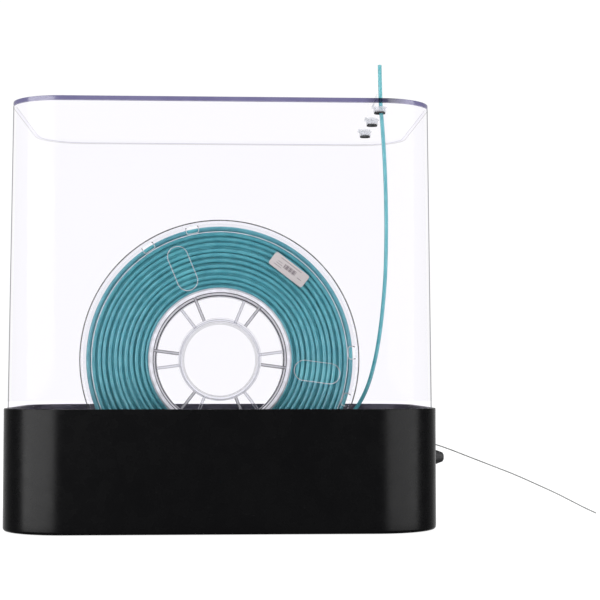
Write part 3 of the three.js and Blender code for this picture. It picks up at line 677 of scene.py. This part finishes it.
def tub():
    OUTSIDE, INSIDE = range(2)
    outside, _ = rounded([(8, TUB_BOTTOM), (0, TUB_BOTTOM), (0, TUB_BOTTOM + 8)], 2.4, 6, closed=False)
    rim_corners = [(0, TUB_BOTTOM + 8), (0, TUB_RIM), (RIM_WALL, TUB_RIM), (RIM_WALL, LEDGE_TOP)]
    rim, _ = rounded(rim_corners, 0.7, 4, closed=False)
    ledge_corners = [(RIM_WALL, LEDGE_TOP), (LEDGE_INSET, LEDGE_TOP), (LEDGE_INSET, LEDGE_TOP - 2)]
    ledge_corners += [(TUB_WALL, LEDGE_TOP - 8), (TUB_WALL, TUB_FLOOR + 6)]
    ledge, _ = rounded(ledge_corners, 0.5, 3, closed=False)
    floor_corners = [(TUB_WALL, TUB_FLOOR + 6), (TUB_WALL, TUB_FLOOR), (TUB_WALL + 6, TUB_FLOOR)]
    inside, _ = rounded(floor_corners, 2.4, 6, closed=False)
    profile = outside + rim[1:] + ledge[1:] + inside[1:]
    # Inner faces and the floor take the second finish, which carries painted violet light.
    marks = []
    for inset, z in profile:
        is_outside = inset < RIM_WALL * 0.7 or z < TUB_FLOOR - 0.5
        marks.append(OUTSIDE if is_outside else INSIDE)
    shape = loft([tub_ring(inset, z) for inset, z in profile], marks)
    shape[2][-1] = INSIDE  # the floor
    cuts = []
    for node, hole in PORT_HOLES.items():
        low, high = box_mm(node)
        centre = (0, (low.y + high.y) / 2, (low.z + high.z) / 2)
        ends = (TUB_HALF_WIDTH - 2 * TUB_WALL, TUB_HALF_WIDTH + TUB_WALL)
        cuts.append(loft([circle(hole, along, "X", centre, 32) for along in ends]))
    recesses = []
    for node in [f"foot_{end}_{side}" for end in ENDS for side in SIDES]:
        low, high = box_mm(node)
        centre = plan_centre(node)
        reach = (high.x - low.x) / 2 + 0.3
        recesses.append(loft([circle(reach, z, "Z", centre, 40) for z in (-1, high.z + 0.3)]))
    cuts.append(joined(*recesses))
    make("tub", shape, [TUB_BLACK, TUB_INSIDE_PAINTED_LIGHT], "base", ["base_shell"], cuts, angle=40)


def foot(end, side):
    node = f"foot_{end}_{side}"
    low, high = box_mm(node)
    reach = (high.x - low.x) / 2
    corners = [(0.4, 0), (reach, 0), (reach, high.z), (0.4, high.z)]
    shape = turned(corners, "Z", plan_centre(node), 40, 0.5, closed=False)
    make(f"foot_pad_{end}_{side}", shape, [RUBBER], "base", [node])


def gasket():
    """A hollow bulb seal lying on the ledge under the cover."""
    low, high = GASKET_LOW.z, GASKET_HIGH.z
    outer = TUB_HALF_WIDTH - GASKET_HIGH.x
    corners = [(outer, low), (outer, high), (outer + 3.5, high), (outer + 3.5, low)]
    profile, marks = rounded(corners, 0.9, 5)
    shape = loft([tub_ring(inset, z) for inset, z in profile], marks, closed=True)
    make("seal", shape, [RUBBER], "base", ["cover_gasket"], angle=50)


# ---------------- rollers

def axle_block(end, side):
    """A notched block that an axle's end drops into, with a thin web and two flanges."""
    node = f"axle_block_{end}_{side}"
    low, high = box_mm(node)
    middle = (low.x + high.x) / 2
    axle_low, axle_high = box_mm(f"axle_{side}")
    axle_z = (axle_low.z + axle_high.z) / 2
    outline = [(-13, low.z), (13, low.z), (10, low.z + 5)]
    outline += [(10, high.z - 3), (7, high.z), (AXLE_NOTCH, high.z)]
    for step in range(17):
        angle = -math.pi * step / 16
        outline.append((AXLE_NOTCH * math.cos(angle), axle_z + AXLE_NOTCH * math.sin(angle)))
    outline += [(-AXLE_NOTCH, high.z), (-7, high.z), (-10, high.z - 3), (-10, low.z + 5)]
    rings = []
    for inset, y in ((0.35, low.y), (0, low.y + 0.35), (0, high.y - 0.35), (0.35, high.y)):
        scale = 1 - inset / 13
        rings.append([Vector((middle + x * scale, y, low.z + (z - low.z) * scale)) for x, z in outline])
    make(f"axle_rest_{end}_{side}", loft(rings), [INNER_BLACK], "base", [node])


def axle(side):
    low, high = box_mm(f"axle_{side}")
    centre = ((low.x + high.x) / 2, 0, (low.z + high.z) / 2)
    reach = (high.x - low.x) / 2
    corners = [(0.3, low.y), (reach, low.y), (reach, high.y), (0.3, high.y)]
    shape = turned(corners, "Y", centre, 32, 0.7, closed=False)
    make(f"steel_axle_{side}", shape, [STEEL], "base", [f"axle_{side}"])


def roller(side, number):
    """A grooved wheel: the spool's rim runs in the groove."""
    node = f"roller_{side}_{number}"
    low, high = box_mm(node)
    middle = (low + high) / 2
    reach = (high.x - low.x) / 2
    half = (high.y - low.y) / 2
    corners = [(ROLLER_BORE, -half), (reach, -half), (reach, 0.4 - half), (reach, -3.8)]
    corners += [(GROOVE_RADIUS, -2.2), (GROOVE_RADIUS, 2.2), (reach, 3.8), (reach, half), (ROLLER_BORE, half)]
    shape = turned(corners, "Y", middle, 48, 0.35)
    dimples = []
    for index in range(8):
        angle = math.pi * index / 4
        place = middle + Vector((DIMPLE_RING * math.cos(angle), 0, DIMPLE_RING * math.sin(angle)))
        for face in (-half, half):
            dimples.append(loft([circle(0.9, face + along, "Y", place, 12) for along in (-0.5, 0.5)]))
    piece_name = f"grooved_roller_{side}_{number}"
    make(piece_name, shape, [DARK_GREY], node, [node], [joined(*dimples)])


def bearing(side, number):
    """A ball bearing: two steel races, a black shield between them on both faces."""
    node = f"bearing_{side}_{number}"
    low, high = box_mm(node)
    middle = (low + high) / 2
    half = (high.y - low.y) / 2
    inner_race, outer_race, shield_band = (4.3, 6.1), (8.9, 11.0), (6.0, 9.0)
    rings = []
    for (near, far), depth, edge, mark in (
        (inner_race, half, 0.3, CLEAR),
        (outer_race, half, 0.3, CLEAR),
        (shield_band, half - 0.5, 0.1, EDGE),
    ):
        corners = [(near, -depth), (far, -depth), (far, depth), (near, depth)]
        rings.append(marked(turned(corners, "Y", middle, 40, edge), mark))
    piece_name = f"ball_bearing_{side}_{number}"
    make(piece_name, joined(*rings), [STEEL, RUBBER], f"roller_{side}_{number}", [node])


def spacer(side, number):
    node = f"axle_spacer_{side}_{number}"
    low, high = box_mm(node)
    middle = (low + high) / 2
    half = (high.y - low.y) / 2
    corners = [(4.3, -half), (6.2, -half), (6.2, half), (4.3, half)]
    shape = turned(corners, "Y", middle, 32, 0.3)
    make(f"sleeve_{side}_{number}", shape, [INNER_BLACK], "base", [node])


# ---------------- desiccant

def tray(side):
    """An open tray with a drawn rim that the slotted lid clips over."""
    node = f"desiccant_tray_{side}"
    low, high = box_mm(node)
    centre = plan_centre(node)
    half_x, half_y = (high.x - low.x) / 2, (high.y - low.y) / 2
    wall = 1.8
    corners = [(6, low.z), (0.8, low.z), (0, low.z + 8), (0, high.z)]
    corners += [(wall, high.z), (wall, low.z + wall), (6, low.z + wall)]
    profile, _ = rounded(corners, 0.8, 3, closed=False)
    rings = []
    for inset, z in profile:
        rings.append(rectangle(half_x - inset, half_y - inset, max(6.5 - inset, 0.4), z, 6, centre))
    make(f"tray_{side}", loft(rings), [INNER_BLACK], "base", [node])


def sachet(side):
    """A stuffed cloth sachet: crowned, drawn in between its corners and crimped all round its seam."""
    node = f"desiccant_sachet_{side}"
    low, high = box_mm(node)
    centre, half = (low + high) / 2, (high - low) / 2
    across, along = 24, 72
    points, faces, count = [], [], along + 1
    for face in (1, -1):
        for i in range(across + 1):
            for j in range(along + 1):
                a, b = 2 * i / across - 1, 2 * j / along - 1
                u = a * (1 - 0.09 * (1 - b ** 4) * abs(a) ** 3)
                v = b * (1 - 0.03 * (1 - a ** 4) * abs(b) ** 3)
                fill = (1 - abs(a) ** 3.2) * (1 - abs(b) ** 9)
                rumple = noise.noise(Vector((u * 4, v * 14, face * 3.1))) * 0.09
                lift = face * half.z * max(0.015, min(0.98, fill ** 0.42 * (0.86 + rumple)))
                points.append(centre + Vector((u * half.x, v * half.y, lift)))
    layer = (across + 1) * count
    for i in range(across):
        for j in range(along):
            a, b = i * count + j, i * count + j + 1
            c, d = b + count, a + count
            faces.append((a, b, c, d))
            faces.append((layer + d, layer + c, layer + b, layer + a))
    rim = [(0, j) for j in range(along)] + [(i, along) for i in range(across)]
    rim += [(across, j) for j in range(along, 0, -1)] + [(i, 0) for i in range(across, 0, -1)]
    loop = [i * count + j for i, j in rim]
    for here, there in zip(loop, loop[1:] + loop[:1]):
        faces.append((here, layer + here, layer + there, there))
    shape = points, faces, [CLEAR] * len(faces)
    piece = make(f"sachet_{side}", shape, [CLOTH], "base", [node], angle=70)


def lid(side):
    node = f"desiccant_lid_{side}"
    low, high = box_mm(node)
    centre = plan_centre(node)
    half_x, half_y = (high.x - low.x) / 2, (high.y - low.y) / 2
    plate = slab(half_x, half_y, 6.5, low.z, high.z, 0.5, 6, centre)
    slots = []
    count = 6
    pitch = 2 * half_y / (count + 1)
    for index in range(1, count + 1):
        place = (centre[0], centre[1] - half_y + index * pitch)
        rings = [rectangle(half_x - 8, 2, 1.9, z, 4, place) for z in (low.z - 1, high.z + 1)]
        slots.append(loft(rings))
    make(f"slotted_lid_{side}", plate, [DARK_GREY], "base", [node], [joined(*slots)])


# ---------------- side ports

def bush(node, flange, bore, name):
    """A rubber bush in one of the tub's side holes, with a flange outside."""
    low, high = box_mm(node)
    centre = (0, (low.y + high.y) / 2, (low.z + high.z) / 2)
    outside = TUB_HALF_WIDTH + 0.3
    sleeve = PORT_HOLES[node] - 0.3
    corners = [(bore, low.x), (sleeve, low.x), (sleeve, outside)]
    corners += [(flange, outside), (flange, high.x), (bore, high.x)]
    shape = turned(corners, "X", centre, 40, 0.35)
    make(name, shape, [RUBBER], "base", [node])


def stopper():
    """A stepped rubber plug with two grip rings round its head."""
    low, high = box_mm("side_stopper")
    centre = (0, (low.y + high.y) / 2, (low.z + high.z) / 2)
    head = (high.z - low.z) / 2
    stem = 3.7
    head_start = TUB_HALF_WIDTH + 2.1
    grip = [(0, 0), (0, 1.8), (0.6, 2.3), (0.6, 3.3), (0, 3.8), (0, 5.2), (0.7, 5.7), (0.7, 6.8)]
    corners = [(3.2, low.x), (stem, low.x + 3.4), (stem, head_start)]
    corners += [(head - drop, head_start + along) for drop, along in grip]
    corners += [(3.6, high.x - 0.8), (2.2, high.x)]
    shape = turned(corners, "X", centre, 40, 0.5, closed=False)
    make("stopper_plug", shape, [RUBBER], "stopper", ["side_stopper"])


# ---------------- cover

def cover_ring(inset, z, steps=24):
    """The cover's outline at a height: it draws in towards the top, and its corners tighten."""
    rise = (z - LEDGE_TOP) / (COVER_TOP - LEDGE_TOP)
    back = COVER_INSET + COVER_DRAFT * rise + inset
    corner = COVER_CORNER + (COVER_TOP_CORNER - COVER_CORNER) * rise - inset
    return rectangle(TUB_HALF_WIDTH - back, TUB_HALF_DEPTH - back, corner, z, steps)


def cover_wall():
    OUTSIDE, INSIDE, JOINT, CORNER = range(4)
    joint = WALL_HIGH.z - 0.35
    corners = [(0, WALL_LOW.z), (0, joint), (0, WALL_HIGH.z)]
    corners += [(COVER_WALL, WALL_HIGH.z), (COVER_WALL, WALL_LOW.z)]
    profile, _ = rounded(corners, 0.1, 2)
    marks = []
    for here, there in zip(profile, profile[1:] + profile[:1]):
        inset, z = (here + there) / 2
        outer_face = inset < COVER_WALL / 4
        if z < WALL_LOW.z + 0.08 or (outer_face and z > joint - 0.15):
            marks.append(JOINT)
        else:
            marks.append(OUTSIDE if outer_face else INSIDE)
    shape = loft([cover_ring(inset, z) for inset, z in profile], marks, closed=True)
    materials = [SHEET_OUTSIDE, SHEET_INSIDE, JOINT_LINE, SHEET_CORNER]
    piece = make("clear_wall", shape, materials, "cover", ["cover_wall"], angle=40)
    for face in piece.data.polygons:
        is_curved = max(abs(face.normal.x), abs(face.normal.y)) < math.cos(math.radians(1))
        if face.material_index == OUTSIDE and is_curved:
            face.material_index = CORNER


def cover_plate():
    """The flat top: its upper face, its underside and its edge each have their own look."""
    UPPER, UNDER, RIM = range(3)
    low, high, seam = PLATE_LOW.z, PLATE_HIGH.z, WALL_HIGH.z + 0.02
    corners = [(6, low), (COVER_WALL, low), (COVER_WALL, seam), (0, seam), (0, high), (6, high)]
    profile, _ = rounded(corners, 0.12, 2, closed=False)
    shape = marked(loft([cover_ring(inset, z) for inset, z in profile]), UPPER)
    places = [plan_centre(f"outlet_grommet_{outlet}") for outlet in OUTLETS]
    holes = []
    for place in places:
        holes.append(loft([circle(OUTLET_HOLE, z, "Z", place, 40) for z in (low - 1, high + 1)]))
    piece = new_object("clear_plate", shape, [PLATE_TOP, PLATE_UNDER, PLATE_EDGE])
    carve(piece, joined(*holes))
    for face in piece.data.polygons:
        level = face.normal.z
        at_hole = any((face.center.xy / MM - place.xy).length < OUTLET_HOLE + 1 for place in places)
        if level < -0.8 or at_hole:
            face.material_index = UNDER
        else:
            face.material_index = UPPER if level > 0.8 else RIM
    smooth(piece, 50)
    fitted(piece, "cover", ["cover_top"])


def collar(outlet):
    centre = plan_centre(f"outlet_grommet_{outlet}")
    low = PLATE_LOW.z
    seat = COVER_TOP + 0.3
    corners = [(3.7, low), (4.6, low), (4.6, seat), (5.3, seat), (5.3, FLANGE_TOP), (3.7, FLANGE_TOP)]
    shape = turned(corners, "Z", centre, 40, 0.15)
    knuckles, posts = [], []
    hinge = centre + Vector((-HINGE_OFFSET, 0, HINGE_Z))
    for sign in (-1, 1):
        ends = sorted((1.8 * sign, 3.2 * sign))
        knuckles.append(loft([circle(HINGE_RADIUS, along, "Y", hinge, 20) for along in ends]))
        middle = (hinge.x, hinge.y + sum(ends) / 2)
        rings = [rectangle(HINGE_RADIUS, 0.7, 0.1, z, 2, middle) for z in (seat, HINGE_Z)]
        posts.append(loft(rings))
    additions = [joined(*posts), joined(*knuckles)]
    name = f"outlet_ring_{outlet}"
    make(name, shape, [CLOUDY], "cover", [f"outlet_collar_{outlet}"], (), additions)


def grommet(outlet):
    centre = plan_centre(f"outlet_grommet_{outlet}")
    low = PLATE_LOW.z
    corners = [(3.1, low - 1.3), (4.2, low - 1.3), (4.2, low - 0.3)]
    corners += [(3.4, low - 0.3), (3.4, low + 1), (3.1, low + 1)]
    shape = turned(corners, "Z", centre, 32, 0.12)
    name = f"outlet_seal_{outlet}"
    make(name, shape, [RUBBER], "cover", [f"outlet_grommet_{outlet}"])


def cap(outlet, open_degrees):
    """A flip cap with a plug under it, turned about its hinge."""
    hinge = plan_centre(f"outlet_grommet_{outlet}") + Vector((-HINGE_OFFSET, 0, HINGE_Z))
    low, high = -HINGE_RADIUS, CAP_THICKNESS - HINGE_RADIUS
    middle = Vector((HINGE_OFFSET, 0, 0))
    disc_corners = [(0.2, low), (4.3, low), (4.3, high), (0.2, high)]
    disc = turned(disc_corners, "Z", middle, 40, 0.25, closed=False)
    plug_corners = [(0.2, low - 0.9), (1.9, low - 0.9), (2.3, low + 0.2), (0.2, low + 0.2)]
    plug = turned(plug_corners, "Z", middle, 24, 0.1, closed=False)
    half = 1.5
    barrel = loft([circle(HINGE_RADIUS, along, "Y", (0, 0, 0), 20) for along in (-half, half)])
    arm = loft([rectangle(1.25, half, 0.1, z, 2, (1.25, 0)) for z in (low, high - 0.2)])
    turn = Matrix.Translation(hinge) @ Matrix.Rotation(-math.radians(open_degrees), 4, "Y")
    shape, additions = moved(disc, turn), [moved(part, turn) for part in (plug, arm, barrel)]
    name = f"flip_cap_{outlet}"
    make(name, shape, [CLOUDY], f"cap_{outlet}", [f"outlet_cap_{outlet}"], (), additions)


# ---------------- spool

def on_spool(angle_degrees):
    """Places a shape drawn with X out from the spool's axis, Y along it and Z round it."""
    return Matrix.Translation(SPOOL_CENTRE) @ Matrix.Rotation(-math.radians(angle_degrees), 4, "Y")


def slot_tool(length, width, corner, radius, angle):
    """A slot through the flange, with round corners and an eased mouth on both faces."""
    ease = 0.55
    levels = [
        (ease + 0.8, -SPOOL_HALF_WIDTH - 1.2),
        (ease, -FLANGE_OUTER_FACE),
        (0, ease - FLANGE_OUTER_FACE),
        (0, -FLANGE_INNER_FACE - ease),
        (ease, -FLANGE_INNER_FACE),
        (ease + 0.8, 0.8 - FLANGE_INNER_FACE),
    ]
    rings = []
    for grow, y in levels:
        flat = rectangle(length / 2 + grow, width / 2 + grow, corner + grow, 0, 8, (radius, 0))
        rings.append([Vector((point.x, y, point.y)) for point in flat])
    shape = loft(rings)
    return moved(marked(shape, EDGE), on_spool(angle))


def spool_tools():
    tools = [slot_tool(32.5, 14.0, 6.9, 70.2, angle) for angle in WINDOW_ANGLES]
    for angle in WINDOW_ANGLES:
        tools += [slot_tool(4.8, 8.5, 1.5, 94.8, angle + spread) for spread in (-10.3, 10.3)]
    return joined(*tools)


def spokes():
    depth = 12.0
    ribs = []
    for index in range(SPOKE_COUNT):
        angle = WINDOW_ANGLES[0] + index * 360 / SPOKE_COUNT
        levels = ((0.4, 0.0), (0.12, 0.12), (0.0, 0.4), (0.0, depth - 0.4), (0.4, depth))
        rings = []
        for inset, rise in levels:
            half = 1.1 - inset
            y = rise - SPOOL_HALF_WIDTH
            ends = (BORE_TUBE_OUTER - 0.5, DRUM_INNER + 0.5)
            rings.append([Vector((ends[i], y, j * half)) for i, j in ((0, -1), (1, -1), (1, 1), (0, 1))])
        ribs.append(moved(loft(rings, [EDGE, EDGE, CLEAR, EDGE]), on_spool(angle)))
    return joined(*ribs)


def spool_half_front():
    front, outer, inner = -SPOOL_HALF_WIDTH, -FLANGE_OUTER_FACE, -FLANGE_INNER_FACE
    band = SPOOL_RADIUS - RIM_BAND
    corners = [
        (DRUM_INNER, front),
        (HUB_BEAD, front),
        (HUB_BEAD, outer),
        (BEAD_RADIUS - BEAD_HALF, outer),
        (BEAD_RADIUS - BEAD_HALF, outer - BEAD_RISE),
        (BEAD_RADIUS + BEAD_HALF, outer - BEAD_RISE),
        (BEAD_RADIUS + BEAD_HALF, outer),
        (band, outer),
        (band, front),
        (SPOOL_RADIUS, front),
        (SPOOL_RADIUS, RIM_DEPTH + front),
        (band, RIM_DEPTH + front),
        (band, inner),
        (DRUM_OUTER, inner),
        (DRUM_OUTER, SPLIT),
        (DRUM_INNER - LIP, SPLIT),
        (DRUM_INNER - LIP, SPLIT - 2),
        (DRUM_INNER, SPLIT - 2),
    ]
    shell = turned(corners, "Y", SPOOL_CENTRE, 144, 0.6)
    bore_corners = [(BORE_RADIUS, front), (BORE_TUBE_OUTER, front)]
    bore_corners += [(BORE_TUBE_OUTER, SPLIT), (BORE_RADIUS, SPLIT)]
    tube = turned(bore_corners, "Y", SPOOL_CENTRE, 96, 0.5)
    finishes = [SPOOL_CLEAR, SPOOL_EDGE, SPOOL_RIM_SHADE, SPOOL_BEAD_HIGHLIGHT, SPOOL_HAZE, SPOOL_DRUM_REFLECTION, SPOOL_SPOKE]
    cuts, additions = [spool_tools()], [spokes(), tube]
    node = "spool_half_front"
    piece = make("spool_front", shell, finishes, "spool", [node], cuts, additions)
    finish_spool(piece)
    return piece


def finish_spool(piece):
    """Gives each zone of the moulding its look, by its distance from the axis; most of these looks are
    painted light and shade: a painted highlight on the bead, a painted dark rim line, a painted reflection in
    the drum, and painted grey on the spokes and edges.
    """
    for face in piece.data.polygons:
        offset = face.center / MM - SPOOL_CENTRE
        reach = math.hypot(offset.x, offset.z)
        on_edge = face.material_index == EDGE
        if reach > SPOOL_RADIUS - RIM_BAND - 0.9:
            face.material_index = RIM if on_edge and reach > SPOOL_RADIUS - 0.65 else CLEAR
        elif on_edge and reach > WINDING_OUTER:
            face.material_index = RIM
        elif on_edge and abs(reach - BEAD_RADIUS) < 1.0 and offset.y < -FLANGE_OUTER_FACE:
            face.material_index = BEAD if abs(reach - BEAD_RADIUS) < BEAD_HALF + 0.05 else CLEAR
        elif not on_edge and BEAD_RADIUS < reach:
            face.material_index = HAZE
        elif BORE_TUBE_OUTER + 0.6 < reach < DRUM_INNER - 0.6:
            face.material_index = RIM if on_edge else SPOKE
        elif on_edge and abs(reach - DRUM_INNER) < LIP:
            face.material_index = RIM
        elif not on_edge and DRUM_INNER - 0.3 < reach < DRUM_OUTER + 0.3:
            face.material_index = DRUM


def spool_half_rear(front):
    """The rear half is the front one turned half round the X axis, with lighter painted grey on its rim edges
    and fainter painted grey on its spokes.
    """
    mesh = front.data.copy()
    mesh.materials[RIM] = SPOOL_EDGE
    mesh.materials[SPOKE] = SPOOL_REAR_SPOKE
    centre = Matrix.Translation(SPOOL_CENTRE * MM)
    mesh.transform(centre @ Matrix.Rotation(math.pi, 4, "X") @ centre.inverted())
    piece = bpy.data.objects.new("spool_rear", mesh)
    bpy.context.scene.collection.objects.link(piece)
    fitted(piece, "spool", ["spool_half_rear"])


def coil(radius_at, y_at):
    """One closed turn of filament about the spool's axis, its place given as functions of the turn."""
    rings = []
    for step in range(TURN_STEPS):
        turn = step / TURN_STEPS
        rings.append(section(2 * math.pi * turn, radius_at(turn), y_at(turn), 10))
    return loft(rings, closed=True)


def section(angle, radius, y, sides):
    """The filament's round section at an angle round the spool."""
    ring = []
    out = Vector((math.cos(angle), 0, math.sin(angle)))
    for side in range(sides):
        around = 2 * math.pi * side / sides
        reach = radius + FILAMENT_RADIUS * math.cos(around)
        ring.append(SPOOL_CENTRE + out * reach + Vector((0, y + FILAMENT_RADIUS * math.sin(around), 0)))
    return ring


def outer_turn(face, base, phase, sway):
    """A turn that lies against a flange and sways a little in and out."""
    reach = FLANGE_INNER_FACE - 0.35 - FILAMENT_RADIUS

    def radius_at(turn):
        wave = math.sin(2 * math.pi * turn + phase) + 0.5 * math.sin(6 * math.pi * turn + 2 * phase)
        return base + sway * wave / 1.5

    def y_at(turn):
        return face * (reach - 0.35 - 0.35 * math.sin(4 * math.pi * turn + 3 * phase))

    return coil(radius_at, y_at)


def deeper_turn(face, base, phase):
    """A turn that shows between two of the turns against the flange."""
    reach = FLANGE_INNER_FACE - 0.35 - FILAMENT_RADIUS

    def radius_at(turn):
        return base + 0.3 * math.sin(2 * math.pi * turn + phase)

    def y_at(turn):
        return face * (reach - 2.7 + 0.3 * math.sin(4 * math.pi * turn + phase))

    return coil(radius_at, y_at)


def side_turns(face):
    """The turns that lie against one flange: an outer row, and a deeper row between them."""
    first = DRUM_OUTER + 0.4 + FILAMENT_RADIUS
    last = WINDING_OUTER - FILAMENT_RADIUS - 0.15
    pitch = (last - first) / (LAYERS - 1)
    shapes = []
    for layer in range(LAYERS):
        sway = 0.0 if layer == LAYERS - 1 else 0.42
        shapes.append(outer_turn(face, first + layer * pitch, GOLDEN_ANGLE * layer + face, sway))
    for layer in range(LAYERS - 1):
        halfway = layer + 0.5
        shapes.append(deeper_turn(face, first + halfway * pitch, GOLDEN_ANGLE * halfway + face))
    return shapes


def outer_layer():
    """The last layer runs across the spool as one helix, close-wound but a little uneven."""
    reach = FLANGE_INNER_FACE - 0.5 - FILAMENT_RADIUS - 2.9
    radius = WINDING_OUTER - FILAMENT_RADIUS - 0.15
    rings = []
    steps = 120
    for step in range(steps * TURNS_ACROSS + 1):
        turn = step / steps
        y = -reach + 2 * reach * turn / TURNS_ACROSS
        sunk = radius - 0.12 * (1 + math.sin(1.7 * turn))
        rings.append(section(2 * math.pi * turn, sunk, y, 8))
    return loft(rings)


def core():
    """What is wound below the turns that show."""
    reach = FLANGE_INNER_FACE - 4.4
    near, far = DRUM_OUTER + 0.4, WINDING_OUTER - 2.4
    corners = [(near, -reach), (far, -reach), (far, reach), (near, reach)]
    return turned(corners, "Y", SPOOL_CENTRE, 96, 0.3)


def winding():
    shapes = side_turns(-1) + side_turns(1) + [outer_layer(), core()]
    make("wound_filament", joined(*shapes), [TEAL], "spool", ["filament_winding"], angle=60)


def label():
    """A paper label with round corners, printed with plain bars that say nothing."""
    PAPER, INK = range(2)
    radius, angle = 81.0, 52.5
    behind = FLANGE_OUTER_FACE + 0.3
    paper = slab(5.25, 15.0, 1.6, 0.0, 0.28, 0.04)
    bars = [(8.2, -2.6 + row * 1.6, 3.2 - 0.7 * row, 0.16) for row in range(3)]
    bars += [(-5.5 + index * 0.95, 0.2, 0.18 + 0.12 * (index % 3), 1.7) for index in range(11)]
    bars += [(0.5, 3.6, 9.0, 0.18), (-9.8, -1.2, 1.8, 0.2)]
    printed = []
    for along, up, half_length, half_height in bars:
        printed.append(slab(half_height, half_length, 0.05, 0.26, 0.3, 0.01, 1, (up, along)))
    whole = joined(marked(paper, PAPER), marked(joined(*printed), INK))
    points = [Vector((radius + point.x, -behind - point.z, point.y)) for point in whole[0]]
    shape = moved((points, whole[1], whole[2]), on_spool(angle))
    make("label", shape, [LABEL_PAPER, LABEL_INK], "spool", ["spool_label"])


# ---------------- studio

def world():
    """A white room for the eye. Glossy surfaces see white only straight ahead, as in a product studio."""
    n = Nodes("studio", "World")
    sight = n.add("TexCoord").outputs["Generated"]
    ahead = n.maths("MAXIMUM", n.add("SeparateXYZ", Vector=sight).outputs["Y"], 0.0)
    in_gloss = n.between(n.maths("POWER", ahead, 4.0), WORLD_GLOSS_LOW, 1.0)
    is_glossy = n.add("LightPath").outputs["Is Glossy Ray"]
    strength = n.between(is_glossy, WORLD_LIGHT, in_gloss)
    background = n.add("Background", Color=(1.0, 1.0, 1.0), Strength=strength)
    bpy.context.scene.world = n.done(background)


def soft_light(name, place, aim, size, power, in_gloss_only=False):
    made = bpy.data.lights.new(name, "AREA")
    made.shape = "RECTANGLE"
    made.size, made.size_y = size
    made.energy = power
    holder = bpy.data.objects.new(name, made)
    holder.location = place
    holder.rotation_euler = (Vector(aim) - Vector(place)).to_track_quat("-Z", "Y").to_euler()
    holder.visible_camera = False
    holder.visible_diffuse = not in_gloss_only
    bpy.context.scene.collection.objects.link(holder)


def floor():
    """A white table that glows a little, so that it stays white right up to the box."""
    n = Nodes("white_table")
    grain = n.blend(n.noise(300.0, 2.0), (0.80, 0.80, 0.80), (0.84, 0.84, 0.84))
    matt = n.add("BsdfDiffuse", Color=grain)
    glow = n.add("Emission", Color=(1, 1, 1), Strength=1.2)
    material = n.done(n.mix(0.8, matt, glow))
    ring = circle(FLOOR_RADIUS, -FLOOR_SINK, "Z", (0, 0, 0), 72)
    table = new_object("table", (ring, [tuple(range(72))], [0]), [material])
    table.visible_glossy = False


def studio():
    world()
    floor()
    soft_light("left_box", (-1.076, -0.84, 0.3), (-0.13, -0.1, 0.1), (1.5, 1.1), 27.0, True)
    soft_light("right_box", (1.10, -0.805, 0.3), (0.13, -0.1, 0.1), (1.5, 1.1), 18.0, True)
    soft_light("top_box", (0.0, -0.2, 1.6), (0, 0, 0), (1.4, 1.0), 12.0)
    scene = bpy.context.scene
    scene.view_settings.view_transform = "Standard"
    scene.cycles.transparent_max_bounces = 40


# ---------------- making

camera()
filament_strand()
side_strand()
studio()

tub()
gasket()
for end in ENDS:
    for side in SIDES:
        foot(end, side)
        axle_block(end, side)
for side in SIDES:
    axle(side)
    for number in (1, 2, 3, 4):
        roller(side, number)
        bearing(side, number)
    for number in (1, 2, 3):
        spacer(side, number)
    tray(side)
    sachet(side)
    lid(side)
bush("stopper_bush", 8.0, 4.0, "stopper_ring")
bush("strand_bush", 3.8, 1.0, "strand_ring")
stopper()
cover_wall()
cover_plate()
for outlet in OUTLETS:
    collar(outlet)
    grommet(outlet)
    cap(outlet, FRONT_CAP_OPEN if outlet == "front" else 0)
spool_half_rear(spool_half_front())
winding()
label()
